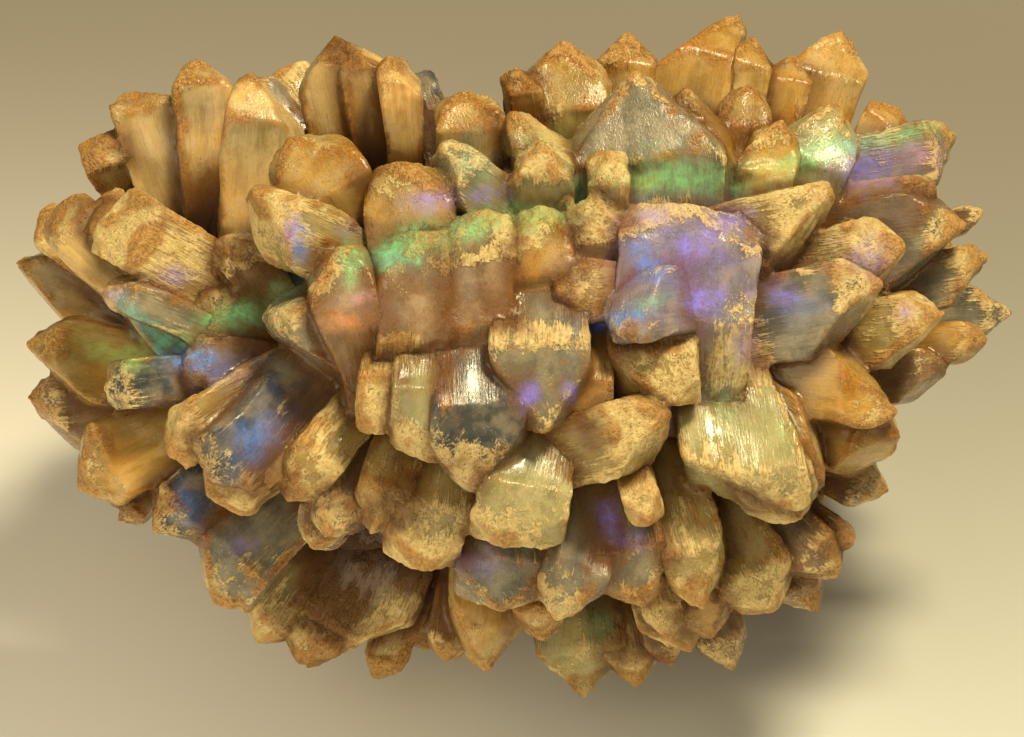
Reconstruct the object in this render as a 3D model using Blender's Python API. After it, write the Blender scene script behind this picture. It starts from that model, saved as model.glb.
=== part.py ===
"""Opal pineapple: one closed ball of grown-together opal blades, resting on its lowest worn tips.

The blades stand on a hidden core and radiate from a short spine that runs along X. The show side is
drawn blade by blade on a plane that leans back SHOW_TILT degrees from upright: "across" runs along X,
"rise" runs up the plane and "out" points off it. The back and the underside follow a seeded rule.
Lengths in the tables are in millimetres and angles in degrees; the model is in metres, +Z up.
"""

import math
import random
from typing import NamedTuple

import bmesh
import bpy
from mathutils import Matrix, Vector

MM = 0.001

# Driving dimensions
HALF_WIDTH = 51.0          # centre to the tips, along X
HALF_GIRTH = 35.5          # centre to the tips, across X
SQUARENESS = 2.4           # 2 is an ellipsoid, more is boxier
CORE_SHARE = 0.64          # the core's reach as a share of the tips' reach
ROOT_SHARE = 0.78          # the same for the roots of the drawn blades, which lie rather flat
CORE_SEGMENTS = 16
CORE_RINGS = 8
SHOW_TILT = 38.0           # how far the show side leans back
CENTRE_HEIGHT = 31.5       # the middle of the ball above what it rests on
ROOT_DEPTH = 8.0           # how far a drawn blade runs on past its root, towards the core

# The back and the underside
HIDDEN_SEED = 11
HIDDEN_COUNT = 158         # places on the whole ball, before those of the show side are taken out
HIDDEN_CLEARANCE = 8.2     # least distance between the tip of a drawn blade and that of a hidden one
HIDDEN_WIDTH = (8.0, 12.5)
HIDDEN_THICKNESS = (5.0, 7.5)
HIDDEN_REACH = (0.86, 1.0)
INNER_REACH = 0.76         # kept back this much more between the drawn blades
OUTLINE_SPAN = 5.5         # degrees each way over which the drawn blades' outline is read
OUTLINE_MARGIN = 4.5       # how far inside that outline a hidden blade stays
FLOOR_MARGIN = 0.6         # least height of a hidden tip over the floor
SPINE_SHARE = 0.5          # how much of a blade's X its root keeps, which spreads the ends like a fan
STEM_SHARE = 0.5           # the same for its Y and Z

WELD = 0.002               # points nearer than this after the union are one point
FLAT_ANGLE = 0.2           # faces that lie within this many degrees are one flat face

ACROSS = Vector((1.0, 0.0, 0.0))
RISE = Vector((0.0, math.sin(math.radians(SHOW_TILT)), math.cos(math.radians(SHOW_TILT))))
OUT = Vector((0.0, -math.cos(math.radians(SHOW_TILT)), math.sin(math.radians(SHOW_TILT))))


class Blade(NamedTuple):
    """One blade as it is drawn on the show plane, in millimetres."""

    tip: tuple            # across, rise
    root: tuple           # across, rise, where it leaves the core
    width: float          # over the broad face
    thick: float
    shoulders: tuple = (1.5, 1.5)   # how far the left and right corners lie below the tip
    slopes: tuple = (2.0, 1.5)      # the same for the front and back faces
    lift: float = 0.0     # how far the tip stands in front of the ball's form
    roll: float = 0.0     # turn about its own axis
    flare: float = 0.75   # width at the root as a share of the width at the tip


UPPER_LEFT = [
    Blade((-41.2, 21.0), (-37.8, 13.0), 4.8, 4.0, (1.5, 0.8), (1.4, 1.0), -6.0),
    Blade((-37.2, 26.4), (-32.4, 11.0), 7.2, 4.5, (1.0, 2.0), (1.9, 1.0), -3.0, 0.0, 0.66),
    Blade((-30.5, 29.3), (-30.2, 12.0), 6.2, 4.5, (1.8, 2.8), (1.9, 1.0), -3.5, 0.0, 0.36),
    Blade((-41.0, 14.8), (-34.0, 6.0), 5.6, 4.0, (1.5, 1.0), (1.8, 1.2), -2.0),
    Blade((-47.8, 13.6), (-38.0, 5.0), 4.4, 3.5, (1.8, 1.0), (1.4, 1.2), -3.0),
    Blade((-24.0, 27.8), (-25.0, 12.0), 8.4, 6.0, (2.8, 6.5), (4.1, 1.8), 1.0, 0.0, 0.8),
    Blade((-19.6, 31.2), (-16.4, 18.0), 6.2, 5.0, (4.8, 1.0), (2.4, 1.2), -3.0),
    Blade((-15.2, 31.4), (-12.8, 18.0), 5.4, 5.5, (0.8, 4.0), (2.4, 1.2), -4.0),
    Blade((-11.0, 29.6), (-10.2, 16.0), 4.5, 5.0, (1.4, 3.2), (1.8, 1.2), -4.0),
    Blade((-21.6, 21.6), (-15.5, 12.0), 9.4, 7.0, (3.0, 4.2), (5.5, 1.2), 2.0),
    Blade((-26.6, 13.4), (-15.0, 8.4), 7.4, 8.0, (5.0, 1.0), (2.6, 1.2), 2.5, 0.0, 0.85),
    Blade((-10.4, 18.8), (-8.4, 8.0), 9.2, 7.0, (2.0, 3.0), (6.3, 1.2), 1.0, -10.0, 0.8),
    Blade((-8.0, 18.8), (1.6, 11.6), 5.8, 6.5, (3.8, 1.0), (2.4, 1.4), 0.5, 8.0, 0.9),
]

UPPER_MIDDLE = [
    Blade((-4.5, 26.4), (-4.0, 14.0), 6.8, 5.0, (2.6, 2.6), (3.4, 1.5), -3.5),
    Blade((2.0, 24.2), (4.2, 13.0), 7.0, 5.0, (1.1, 6.0), (3.3, 1.5), -2.0),
    Blade((5.4, 30.8), (5.4, 17.0), 9.4, 6.5, (3.8, 4.4), (5.9, 2.2), -5.5),
    Blade((0.6, 28.4), (2.2, 17.0), 3.6, 4.0, (1.5, 2.3), (2.1, 1.5), -6.5),
    Blade((3.1, 20.6), (3.4, 9.0), 6.6, 5.5, (3.6, 3.6), (2.4, 3.0), 1.5),
    Blade((11.4, 32.1), (10.8, 20.0), 6.6, 5.0, (3.4, 3.0), (3.0, 1.5), -10.0),
    Blade((12.8, 27.8), (14.0, 10.0), 15.4, 9.0, (7.4, 8.2), (7.5, 2.4), 1.0, 0.0, 0.95),
    Blade((9.4, 19.8), (9.6, 9.0), 4.2, 4.5, (2.3, 1.9), (2.1, 1.5), 2.0),
    Blade((8.2, 15.8), (8.8, 6.0), 6.0, 5.0, (2.3, 3.4), (4.2, 2.1), 1.5, 8.0),
    Blade((3.0, 14.4), (3.6, 4.0), 6.4, 7.5, (3.4, 3.0), (5.4, 2.1), 2.0),
    Blade((18.4, 26.2), (19.4, 13.0), 7.4, 6.0, (3.4, 6.3), (5.1, 1.5), -2.0),
]

UPPER_RIGHT = [
    Blade((20.0, 34.9), (16.8, 20.0), 9.6, 6.0, (8.2, 1.7), (5.4, 2.2), -12.0, 0.0, 0.8),
    Blade((25.0, 31.6), (22.8, 20.0), 4.0, 4.5, (1.7, 2.7), (2.7, 1.5), -10.0),
    Blade((28.8, 30.2), (26.0, 19.0), 4.6, 4.5, (2.0, 2.4), (2.7, 1.5), -13.0),
    Blade((33.2, 32.8), (28.6, 18.0), 8.2, 6.0, (5.4, 4.1), (5.4, 1.8), -9.0, 0.0, 0.8),
    Blade((23.6, 26.6), (22.4, 14.0), 5.6, 5.5, (2.7, 2.4), (3.6, 1.5), -4.5),
    Blade((31.8, 25.0), (27.6, 12.0), 9.2, 6.5, (5.4, 4.1), (5.9, 1.8), -2.5),
    Blade((26.4, 23.0), (24.0, 11.0), 6.2, 5.5, (3.1, 2.7), (4.5, 1.5), -2.0),
    Blade((39.8, 24.2), (33.0, 15.0), 6.8, 4.6, (1.4, 2.4), (2.7, 1.5), -10.0),
    Blade((45.4, 19.8), (27.0, 16.4), 7.0, 7.0, (1.4, 3.4), (3.0, 1.5), 1.5, 0.0, 0.9),
    Blade((42.8, 15.6), (28.0, 13.4), 4.6, 5.0, (1.4, 2.7), (2.1, 1.5), 0.5),
    Blade((32.6, 12.6), (21.0, 10.4), 8.4, 7.5, (1.0, 7.1), (3.9, 1.8), 1.5, 0.0, 0.9),
    Blade((45.4, 11.4), (28.0, 9.4), 9.8, 6.0, (4.1, 8.3), (3.0, 1.8), 1.5, 0.0, 0.85),
    Blade((48.6, 14.0), (38.0, 11.0), 3.0, 3.0, (2.0, 2.4), (1.2, 1.2), -2.0, 0.0, 0.9),
    Blade((39.4, 9.6), (26.0, 7.6), 7.6, 6.5, (3.4, 5.1), (4.5, 1.8), 1.5),
]

RIGHT = [
    Blade((36.8, 4.6), (19.0, 1.4), 9.8, 6.5, (3.6, 8.3), (3.2, 1.9), 3.0, -4.0, 0.8),
    Blade((38.8, -2.8), (22.0, -2.0), 10.4, 7.0, (8.8, 2.0), (4.8, 1.9), 1.5, 0.0, 0.8),
    Blade((42.8, 2.6), (28.0, 1.0), 7.8, 5.5, (3.2, 6.6), (3.2, 1.9), 1.0),
    Blade((50.8, 4.4), (36.0, 3.4), 6.4, 5.0, (5.2, 3.6), (2.2, 1.9), 0.0, 0.0, 0.8),
    Blade((47.8, 8.2), (33.0, 4.5), 6.0, 5.0, (2.0, 5.1), (2.6, 1.6), -1.0),
    Blade((47.6, 0.8), (34.0, 0.5), 4.6, 4.5, (2.4, 3.2), (1.9, 1.6), -2.0),
    Blade((44.0, -2.4), (31.0, -3.5), 5.6, 5.0, (2.4, 4.8), (2.6, 1.6), -6.0),
    Blade((39.2, -10.2), (26.0, -7.0), 8.6, 6.5, (3.2, 6.4), (3.8, 2.2), 0.5),
    Blade((37.6, -14.4), (26.0, -9.5), 5.6, 5.0, (2.8, 3.6), (2.6, 1.6), -5.0),
    Blade((32.2, -12.0), (18.0, -3.0), 8.6, 5.5, (7.3, 2.8), (3.5, 1.9), 1.0),
    Blade((23.0, -16.4), (20.8, -1.2), 13.4, 6.5, (1.0, 6.2), (3.2, 2.5), 3.0, 0.0, 0.36),
    Blade((27.4, -17.6), (20.6, 1.0), 8.6, 6.5, (3.0, 4.0), (3.5, 1.9), 1.8, 0.0, 0.4),
    Blade((33.8, -19.4), (24.0, -12.0), 3.2, 3.2, (1.6, 2.0), (1.6, 1.3), -4.0),
    Blade((32.4, -22.4), (21.0, -12.0), 6.0, 5.5, (2.8, 3.2), (2.9, 1.6), -2.5),
    Blade((30.8, -26.0), (21.0, -14.0), 5.4, 5.0, (2.8, 3.2), (2.6, 1.6), -4.0),
    Blade((26.4, -26.4), (19.0, -13.0), 7.4, 6.0, (3.6, 3.2), (4.2, 2.2), 0.5),
]

CENTRE = [
    Blade((-25.2, 3.0), (-8.0, 1.0), 14.4, 9.0, (12.2, 12.2), (2.5, 2.5), 1.0, -6.0, 1.0),
    Blade((-17.6, 9.8), (-14.6, 0.4), 6.8, 8.0, (3.6, 2.2), (6.0, 1.8), 3.0, 0.0, 0.95),
    Blade((-10.2, 11.8), (-9.6, 1.6), 8.0, 10.0, (3.2, 0.6), (8.0, 2.5), 2.5, 0.0, 0.9),
    Blade((-3.4, 13.5), (-2.6, 1.6), 7.4, 10.0, (2.4, 1.2), (8.5, 2.5), 2.0, 0.0, 0.9),
    Blade((18.2, 14.8), (16.8, 2.0), 14.6, 12.0, (3.0, 2.2), (9.0, 3.6), 2.0, 3.0, 0.92),
    Blade((9.4, 3.4), (18.6, 5.2), 7.0, 6.0, (1.6, 5.5), (2.6, 1.8), 4.8, 0.0, 0.9),
    Blade((4.4, 5.6), (13.0, 5.2), 6.4, 5.0, (2.4, 2.2), (2.5, 1.8), 2.0),
    Blade((-12.9, -8.4), (-12.6, 1.0), 4.0, 6.0, (1.6, 2.4), (4.3, 1.8), 2.5),
    Blade((-8.8, -11.4), (-8.4, 3.0), 5.8, 7.0, (0.6, 2.4), (6.0, 1.8), 2.5),
    Blade((-2.5, -14.0), (-3.2, 2.0), 8.6, 8.0, (5.6, 3.0), (6.5, 1.8), 3.0, 0.0, 0.9),
    Blade((3.2, -8.2), (2.8, 3.0), 9.6, 8.0, (5.0, 5.6), (6.5, 1.8), 3.5, 0.0, 0.9),
    Blade((8.0, -9.0), (7.8, 1.0), 4.6, 6.0, (2.6, 3.1), (4.3, 1.8), 2.0),
    Blade((16.0, -7.4), (4.2, -10.4), 7.4, 6.5, (3.2, 5.4), (4.6, 2.2), 3.0, 0.0, 0.9),
    Blade((14.6, -5.8), (13.8, 3.0), 8.6, 6.0, (1.8, 3.8), (4.2, 1.8), 2.0, 0.0, 0.9),
    Blade((0.4, -19.6), (3.0, -6.0), 9.8, 7.0, (3.4, 2.2), (5.0, 2.2), 4.0, 0.0, 0.62),
    Blade((-0.8, -26.2), (-0.4, -12.0), 10.0, 7.0, (3.6, 3.8), (4.4, 2.9), 1.0, 0.0, 0.7),
    Blade((5.4, -26.8), (9.0, -10.0), 6.6, 6.5, (4.8, 2.6), (4.0, 2.5), 3.0, 0.0, 0.85),
    Blade((13.8, -17.4), (10.4, -7.0), 3.8, 4.5, (2.2, 2.2), (2.9, 1.8), 2.5),
    Blade((13.0, -25.0), (9.6, -10.0), 7.4, 6.5, (3.1, 3.1), (4.7, 2.5), 1.5),
    Blade((20.0, -25.2), (15.0, -9.0), 7.0, 7.5, (5.7, 3.5), (4.7, 2.5), 2.0),
    Blade((-8.8, -21.9), (-6.6, -8.0), 8.2, 7.0, (3.0, 3.0), (5.0, 2.9), 2.0),
    Blade((-13.8, -18.4), (-9.6, -6.0), 6.0, 6.0, (3.1, 3.1), (3.6, 2.5), 1.0),
    Blade((-17.8, -18.8), (-12.0, -6.0), 5.0, 5.5, (3.1, 2.6), (3.6, 2.5), 0.5),
    Blade((-19.8, -19.8), (-14.0, -9.0), 5.2, 5.0, (2.6, 2.6), (3.2, 2.2), -2.0),
    Blade((-21.6, -14.6), (-14.0, -5.0), 6.0, 6.0, (3.1, 3.5), (4.0, 2.5), 1.0),
]

LEFT = [
    Blade((-50.2, 8.8), (-36.0, 3.5), 9.0, 5.5, (7.6, 7.2), (1.9, 1.9), 0.0, 0.0, 0.8),
    Blade((-45.2, 14.4), (-29.0, -1.0), 6.6, 6.0, (1.6, 1.2), (2.2, 1.6), 1.0, 0.0, 0.9),
    Blade((-40.6, 13.2), (-26.0, 5.4), 7.6, 6.0, (1.6, 2.8), (3.8, 1.6), 3.0, 0.0, 0.8),
    Blade((-40.2, 6.0), (-25.0, -0.5), 3.6, 6.0, (1.6, 1.6), (2.2, 1.6), 2.0),
    Blade((-48.8, -0.2), (-32.0, -2.0), 8.8, 6.0, (7.2, 4.8), (2.9, 2.2), 0.0, 0.0, 0.8),
    Blade((-40.4, -3.8), (-28.0, -2.0), 5.0, 5.0, (2.4, 2.4), (2.2, 1.9), 1.5),
    Blade((-32.4, -1.0), (-22.0, -1.4), 4.6, 4.5, (2.0, 2.0), (1.9, 1.9), -2.5),
    Blade((-48.0, -6.6), (-33.0, -4.6), 7.8, 5.5, (5.2, 2.0), (2.6, 1.9), -2.5),
    Blade((-28.6, 11.6), (-22.0, 3.0), 5.4, 5.5, (2.8, 2.8), (2.6, 1.9), -4.0),
    Blade((-31.0, 5.4), (-21.0, 0.0), 5.6, 5.0, (2.8, 2.8), (2.6, 1.9), -5.0),
]

LOWER_LEFT = [
    Blade((-28.6, -13.0), (-17.0, 0.0), 9.0, 4.5, (2.8, 2.0), (1.9, 1.9), 3.0, -18.0, 0.85),
    Blade((-33.8, -9.4), (-21.0, -1.5), 6.0, 5.5, (2.0, 3.2), (2.9, 1.9), 2.0),
    Blade((-29.2, -14.6), (-14.0, -4.0), 7.0, 6.0, (2.8, 2.4), (4.2, 2.2), 1.5, 10.0, 0.8),
    Blade((-43.2, -13.0), (-26.0, -4.0), 9.0, 6.5, (3.2, 3.2), (3.5, 2.2), 1.0, 0.0, 0.75),
    Blade((-35.2, -18.2), (-23.0, -7.0), 6.6, 5.5, (2.8, 3.2), (2.9, 1.9), -1.5),
    Blade((-39.4, -17.2), (-28.0, -8.0), 4.0, 4.0, (2.0, 2.0), (1.9, 1.6), -4.0),
    Blade((-30.6, -24.4), (-17.0, -10.0), 8.4, 6.5, (2.4, 4.0), (4.5, 2.6), 0.5, 0.0, 0.7),
    Blade((-25.8, -29.0), (-16.0, -15.0), 5.0, 4.5, (2.4, 2.4), (2.2, 1.6), -6.0),
    Blade((-18.2, -33.0), (-9.0, -14.0), 11.4, 7.5, (9.7, 3.2), (4.8, 2.6), -3.0, 0.0, 0.7),
    Blade((-21.4, -31.0), (-13.0, -16.0), 6.0, 5.0, (2.4, 2.4), (2.2, 1.6), -5.5),
    Blade((-2.4, -32.2), (-1.8, -16.0), 9.4, 6.5, (6.8, 6.8), (3.8, 2.2), -1.5),
    Blade((3.0, -29.2), (1.6, -16.0), 5.4, 5.0, (2.8, 2.8), (2.6, 1.6), -2.5),
    Blade((-13.8, -33.2), (-8.0, -19.0), 4.4, 4.0, (2.4, 2.4), (1.9, 1.6), -9.0),
    Blade((-6.6, -31.0), (-4.6, -18.0), 5.0, 4.5, (2.4, 2.4), (1.9, 1.6), -8.0),
]

LOWER_RIGHT = [
    Blade((7.6, -35.0), (6.6, -16.0), 9.0, 7.5, (5.2, 5.2), (4.8, 2.6), -1.0, 0.0, 0.75),
    Blade((13.2, -33.6), (9.6, -18.0), 5.8, 5.0, (3.2, 3.2), (2.6, 1.9), -4.5),
    Blade((16.4, -32.2), (12.0, -18.0), 5.0, 4.5, (2.8, 2.8), (2.2, 1.6), -5.5),
    Blade((17.8, -30.2), (12.0, -15.0), 7.4, 5.5, (3.2, 3.6), (3.2, 1.9), -1.5),
    Blade((16.4, -28.6), (12.0, -14.0), 4.2, 4.5, (2.4, 2.4), (2.6, 1.6), 0.0),
    Blade((20.4, -28.8), (14.6, -14.0), 5.2, 5.0, (2.8, 2.8), (2.9, 1.6), -0.5),
    Blade((22.6, -31.6), (16.0, -17.0), 5.8, 5.0, (3.2, 2.8), (2.6, 1.6), -4.5),
]

SHOWN_BLADES = UPPER_LEFT + UPPER_MIDDLE + UPPER_RIGHT + RIGHT + CENTRE + LEFT + LOWER_LEFT + LOWER_RIGHT

# Places under the ball, as X and Y, of the blades that it stands on
FEET = [(-21.0, -5.0), (22.0, -5.0), (-19.0, 13.0), (20.0, 13.0), (7.0, -9.0), (1.0, 17.0)]
FOOT_WIDTH = 9.0
FOOT_THICKNESS = 7.0
FOOT_OVERRUN = 1.6         # how far a foot's tip would pass below the floor before it is worn flat

OPAL = ("opal", (0.62, 0.50, 0.34, 1.0), 0.32, 0.0)


def reach(direction):
    """Distance in mm from the middle of the ball to its tips along a direction."""
    unit = direction.normalized()
    girth = math.hypot(unit.y, unit.z)
    share = abs(unit.x / HALF_WIDTH) ** SQUARENESS + (girth / HALF_GIRTH) ** SQUARENESS
    return share ** (-1.0 / SQUARENESS)


def height_over(spot, share):
    """Distance off the show plane, at a spot on it, of the ball's form scaled by a share."""
    across, rise = spot
    filled = (abs(across) / (HALF_WIDTH * share)) ** SQUARENESS
    filled += (abs(rise) / (HALF_GIRTH * share)) ** SQUARENESS
    return HALF_GIRTH * share * max(0.0, 1.0 - filled) ** (1.0 / SQUARENESS)


def on_show_side(spot, out):
    """A point in mm, from its place on the show plane and its distance off it."""
    return ACROSS * spot[0] + RISE * spot[1] + OUT * out


def slice_off(mesh, point, normal):
    """Cuts off what lies past a plane and closes the cut with one flat face."""
    everything = mesh.verts[:] + mesh.edges[:] + mesh.faces[:]
    cut = bmesh.ops.bisect_plane(mesh, geom=everything, dist=1e-6, plane_co=point, plane_no=normal,
                                 clear_outer=True)
    rim = [item for item in cut["geom_cut"] if isinstance(item, bmesh.types.BMEdge)]
    bmesh.ops.contextual_create(mesh, geom=rim)


def blade_mesh(blade, length):
    """A blade standing along +Z with its tip at the origin: -Y is its front face."""
    mesh = bmesh.new()
    bmesh.ops.create_cube(mesh, size=1.0)
    bmesh.ops.scale(mesh, vec=(blade.width, blade.thick, length), verts=mesh.verts)
    bmesh.ops.translate(mesh, vec=(0.0, 0.0, -length / 2.0), verts=mesh.verts)
    root = [vert for vert in mesh.verts if vert.co.z < -length / 2.0]
    bmesh.ops.scale(mesh, vec=(blade.flare, (1.0 + blade.flare) / 2.0, 1.0), verts=root)
    left, right = blade.shoulders
    front, back = blade.slopes
    peak = Vector((blade.width / 2.0 * (left - right) / (left + right),
                   blade.thick / 2.0 * (front - back) / (front + back), 0.0))
    slice_off(mesh, peak, Vector((-left, 0.0, peak.x + blade.width / 2.0)))
    slice_off(mesh, peak, Vector((right, 0.0, blade.width / 2.0 - peak.x)))
    slice_off(mesh, peak, Vector((0.0, -front, peak.y + blade.thick / 2.0)))
    slice_off(mesh, peak, Vector((0.0, back, blade.thick / 2.0 - peak.y)))
    bmesh.ops.translate(mesh, vec=(0.0, -peak.y, 0.0), verts=mesh.verts)
    bmesh.ops.triangulate(mesh, faces=mesh.faces)
    return mesh


def stand_blade(blade, tip, root, facing, name, collection):
    """Adds a blade from root to tip, both in mm, with its broad face turned to a direction."""
    axis = (tip - root).normalized()
    side = axis.cross(facing).normalized()
    turn = Matrix.Rotation(math.radians(blade.roll), 3, axis)
    side = turn @ side
    frame = Matrix((side, axis.cross(side), axis)).transposed().to_4x4()
    mesh = blade_mesh(blade, (tip - root).length)
    middle = Vector((0.0, 0.0, CENTRE_HEIGHT))
    mesh.transform(Matrix.Scale(MM, 4) @ Matrix.Translation(tip + middle) @ frame)
    bmesh.ops.recalc_face_normals(mesh, faces=mesh.faces)
    data = bpy.data.meshes.new(name)
    mesh.to_mesh(data)
    mesh.free()
    thing = bpy.data.objects.new(name, data)
    collection.objects.link(thing)
    thing.hide_render = True
    thing.display_type = "WIRE"
    return thing


def grow_show_side(collection):
    """Adds the drawn blades.

    Returns their tips in mm.
    """
    tips = []
    for number, blade in enumerate(SHOWN_BLADES):
        tip_out = height_over(blade.tip, 1.0) + blade.lift
        root_out = height_over(blade.root, ROOT_SHARE) + blade.lift * ROOT_SHARE
        tip = on_show_side(blade.tip, tip_out)
        root = on_show_side(blade.root, min(root_out, tip_out * ROOT_SHARE))
        root -= (tip - root).normalized() * ROOT_DEPTH
        stand_blade(blade, tip, root, OUT, f"shown_{number:03d}", collection)
        tips.append(tip)
    return tips


def foot_tips():
    """Tips of the blades that the ball stands on, in mm from its middle."""
    return [Vector((x, y, -CENTRE_HEIGHT - FOOT_OVERRUN)) for x, y in FEET]


def hidden_root(tip):
    """Place in the core, in mm, that a blade of the back or the underside grows from."""
    return Vector((tip.x * SPINE_SHARE, tip.y * STEM_SHARE, tip.z * STEM_SHARE))


def grow_feet(collection):
    """Adds the blades that the ball stands on."""
    shape = Blade((0, 0), (0, 0), FOOT_WIDTH, FOOT_THICKNESS, (2.0, 2.0), (2.0, 2.0))
    for number, tip in enumerate(foot_tips()):
        stand_blade(shape, tip, hidden_root(tip), ACROSS, f"foot_{number}", collection)


def on_show_plane(point):
    """Distance from the middle, in mm, and direction, in radians, of a point as the show plane has it."""
    across = point.dot(ACROSS)
    rise = point.dot(RISE)
    return math.hypot(across, rise), math.atan2(rise, across)


def drawn_outline(direction, drawn):
    """How far a hidden blade may reach, in mm, so that it stays behind the drawn ones."""
    furthest = 0.0
    for tip in drawn:
        spread, angle = on_show_plane(tip)
        off = abs(math.remainder(angle - direction, math.tau))
        if off < math.radians(OUTLINE_SPAN):
            furthest = max(furthest, spread)
    return furthest - OUTLINE_MARGIN


def grow_hidden_side(collection, drawn):
    """Adds the blades of the back and the underside, clear of the tips of the drawn ones."""
    taken = drawn + foot_tips()
    chance = random.Random(HIDDEN_SEED)
    turn = math.pi * (3.0 - math.sqrt(5.0))
    for number in range(HIDDEN_COUNT):
        level = 1.0 - 2.0 * (number + 0.5) / HIDDEN_COUNT
        ring = math.sqrt(1.0 - level * level)
        angle = number * turn
        way = Vector((level * HALF_WIDTH, math.cos(angle) * ring * HALF_GIRTH,
                      math.sin(angle) * ring * HALF_GIRTH))
        share = chance.uniform(*HIDDEN_REACH)
        width = chance.uniform(*HIDDEN_WIDTH)
        thick = chance.uniform(*HIDDEN_THICKNESS)
        shoulders = (chance.uniform(0.8, 4.5), chance.uniform(0.8, 4.5))
        slopes = (chance.uniform(1.0, 3.0), chance.uniform(1.0, 2.0))
        facing = Vector([chance.gauss(0.0, 1.0) for _ in range(3)])
        if way.dot(OUT) > 0.0:
            share *= INNER_REACH
        tip = way.normalized() * reach(way) * share
        spread, seen_from = on_show_plane(tip)
        limit = drawn_outline(seen_from, drawn)
        if spread > limit:
            tip *= limit / spread
        tip.z = max(tip.z, FLOOR_MARGIN - CENTRE_HEIGHT)
        if min((tip - other).length for other in taken) < HIDDEN_CLEARANCE:
            continue
        blade = Blade((0, 0), (0, 0), width, thick, shoulders, slopes)
        stand_blade(blade, tip, hidden_root(tip), facing, f"hidden_{number:03d}", collection)


def add_core():
    """Adds the rounded middle that every blade grows from."""
    bpy.ops.mesh.primitive_uv_sphere_add(segments=CORE_SEGMENTS, ring_count=CORE_RINGS,
                                         location=(0.0, 0.0, CENTRE_HEIGHT * MM))
    core = bpy.context.object
    core.rotation_euler.y = math.radians(90.0)
    girth = HALF_GIRTH * CORE_SHARE * MM
    core.scale = (girth, girth, HALF_WIDTH * CORE_SHARE * MM)
    bpy.ops.object.transform_apply(location=True, rotation=True, scale=True)
    mesh = bmesh.new()
    mesh.from_mesh(core.data)
    bmesh.ops.triangulate(mesh, faces=mesh.faces)
    mesh.to_mesh(core.data)
    mesh.free()
    return core


def fuse(core, blades):
    """Joins the core and a collection of blades in one solid.

    Returns its mesh.
    """
    step = core.modifiers.new("union", "BOOLEAN")
    step.operation = "UNION"
    step.solver = "EXACT"
    step.operand_type = "COLLECTION"
    step.collection = blades
    return bpy.data.meshes.new_from_object(core.evaluated_get(bpy.context.evaluated_depsgraph_get()))


def keep_outer_skin(mesh):
    """Takes the sealed pockets between the roots out of a mesh."""
    left = set(mesh.faces)
    shells = []
    while left:
        shell = {left.pop()}
        front = list(shell)
        while front:
            near = {other for edge in front.pop().edges for other in edge.link_faces} - shell
            shell |= near
            front.extend(near)
        left -= shell
        shells.append(shell)
    skin = max(shells, key=len)
    pockets = [face for shell in shells if shell is not skin for face in shell]
    bmesh.ops.delete(mesh, geom=pockets, context="FACES")


def wear_feet(mesh):
    """Wears the lowest tips flat, level with the floor."""
    everything = mesh.verts[:] + mesh.edges[:] + mesh.faces[:]
    cut = bmesh.ops.bisect_plane(mesh, geom=everything, dist=1e-7, plane_co=(0.0, 0.0, 0.0),
                                 plane_no=(0.0, 0.0, -1.0), clear_outer=True)
    rims = [item for item in cut["geom_cut"] if isinstance(item, bmesh.types.BMEdge)]
    bmesh.ops.holes_fill(mesh, edges=rims, sides=0)


def centre(mesh):
    """Moves a mesh so that its box is centred on the origin in X and Y."""
    lowest = Vector([min(vert.co[axis] for vert in mesh.verts) for axis in range(3)])
    highest = Vector([max(vert.co[axis] for vert in mesh.verts) for axis in range(3)])
    middle = (lowest + highest) / 2.0
    bmesh.ops.translate(mesh, vec=(-middle.x, -middle.y, 0.0), verts=mesh.verts)


def finish(data):
    """Makes the fused mesh one clean closed skin that stands level and centred."""
    mesh = bmesh.new()
    mesh.from_mesh(data)
    bmesh.ops.remove_doubles(mesh, verts=mesh.verts, dist=WELD * MM)
    bmesh.ops.triangulate(mesh, faces=mesh.faces)
    keep_outer_skin(mesh)
    wear_feet(mesh)
    bmesh.ops.dissolve_limit(mesh, angle_limit=math.radians(FLAT_ANGLE), verts=mesh.verts,
                             edges=mesh.edges)
    bmesh.ops.triangulate(mesh, faces=mesh.faces)
    centre(mesh)
    mesh.to_mesh(data)
    mesh.free()


def opal_material():
    """The plain opal of the solid."""
    name, colour, roughness, metallic = OPAL
    material = bpy.data.materials.new(name)
    material.use_nodes = True
    material.diffuse_color = colour
    shader = material.node_tree.nodes["Principled BSDF"]
    shader.inputs["Base Color"].default_value = colour
    shader.inputs["Roughness"].default_value = roughness
    shader.inputs["Metallic"].default_value = metallic
    return material


def main():
    """Builds the opal pineapple."""
    for thing in list(bpy.data.objects):
        bpy.data.objects.remove(thing)
    home = bpy.data.collections.new("opal_pineapple")
    growth = bpy.data.collections.new("blades")
    bpy.context.scene.collection.children.link(home)
    bpy.context.scene.collection.children.link(growth)

    core = add_core()
    drawn = grow_show_side(growth)
    grow_feet(growth)
    grow_hidden_side(growth, drawn)
    solid = fuse(core, growth)
    for thing in [core] + list(growth.objects):
        bpy.data.objects.remove(thing)

    finish(solid)
    solid.materials.clear()
    solid.materials.append(opal_material())
    home.objects.link(bpy.data.objects.new("opal_pineapple", solid))


main()
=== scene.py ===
"""Opal pineapple: the finished skin of one ball of grown-together opal blades.

The blades are modelled one by one where the solid has them, fused in four skins that overlap inside the
ball, weathered, and dressed in honey opal with a sandy crust, iron stain, patches of colour play with a
painted glow, and painted shade in the gaps between blades.
Lengths in the tables are in millimetres and angles in degrees; the scene is in metres, +Z up.
"""

import logging
import math
import random
from dataclasses import dataclass, field
from enum import Enum, IntEnum

import bpy
import numpy as np
from mathutils import Matrix, Vector


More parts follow.
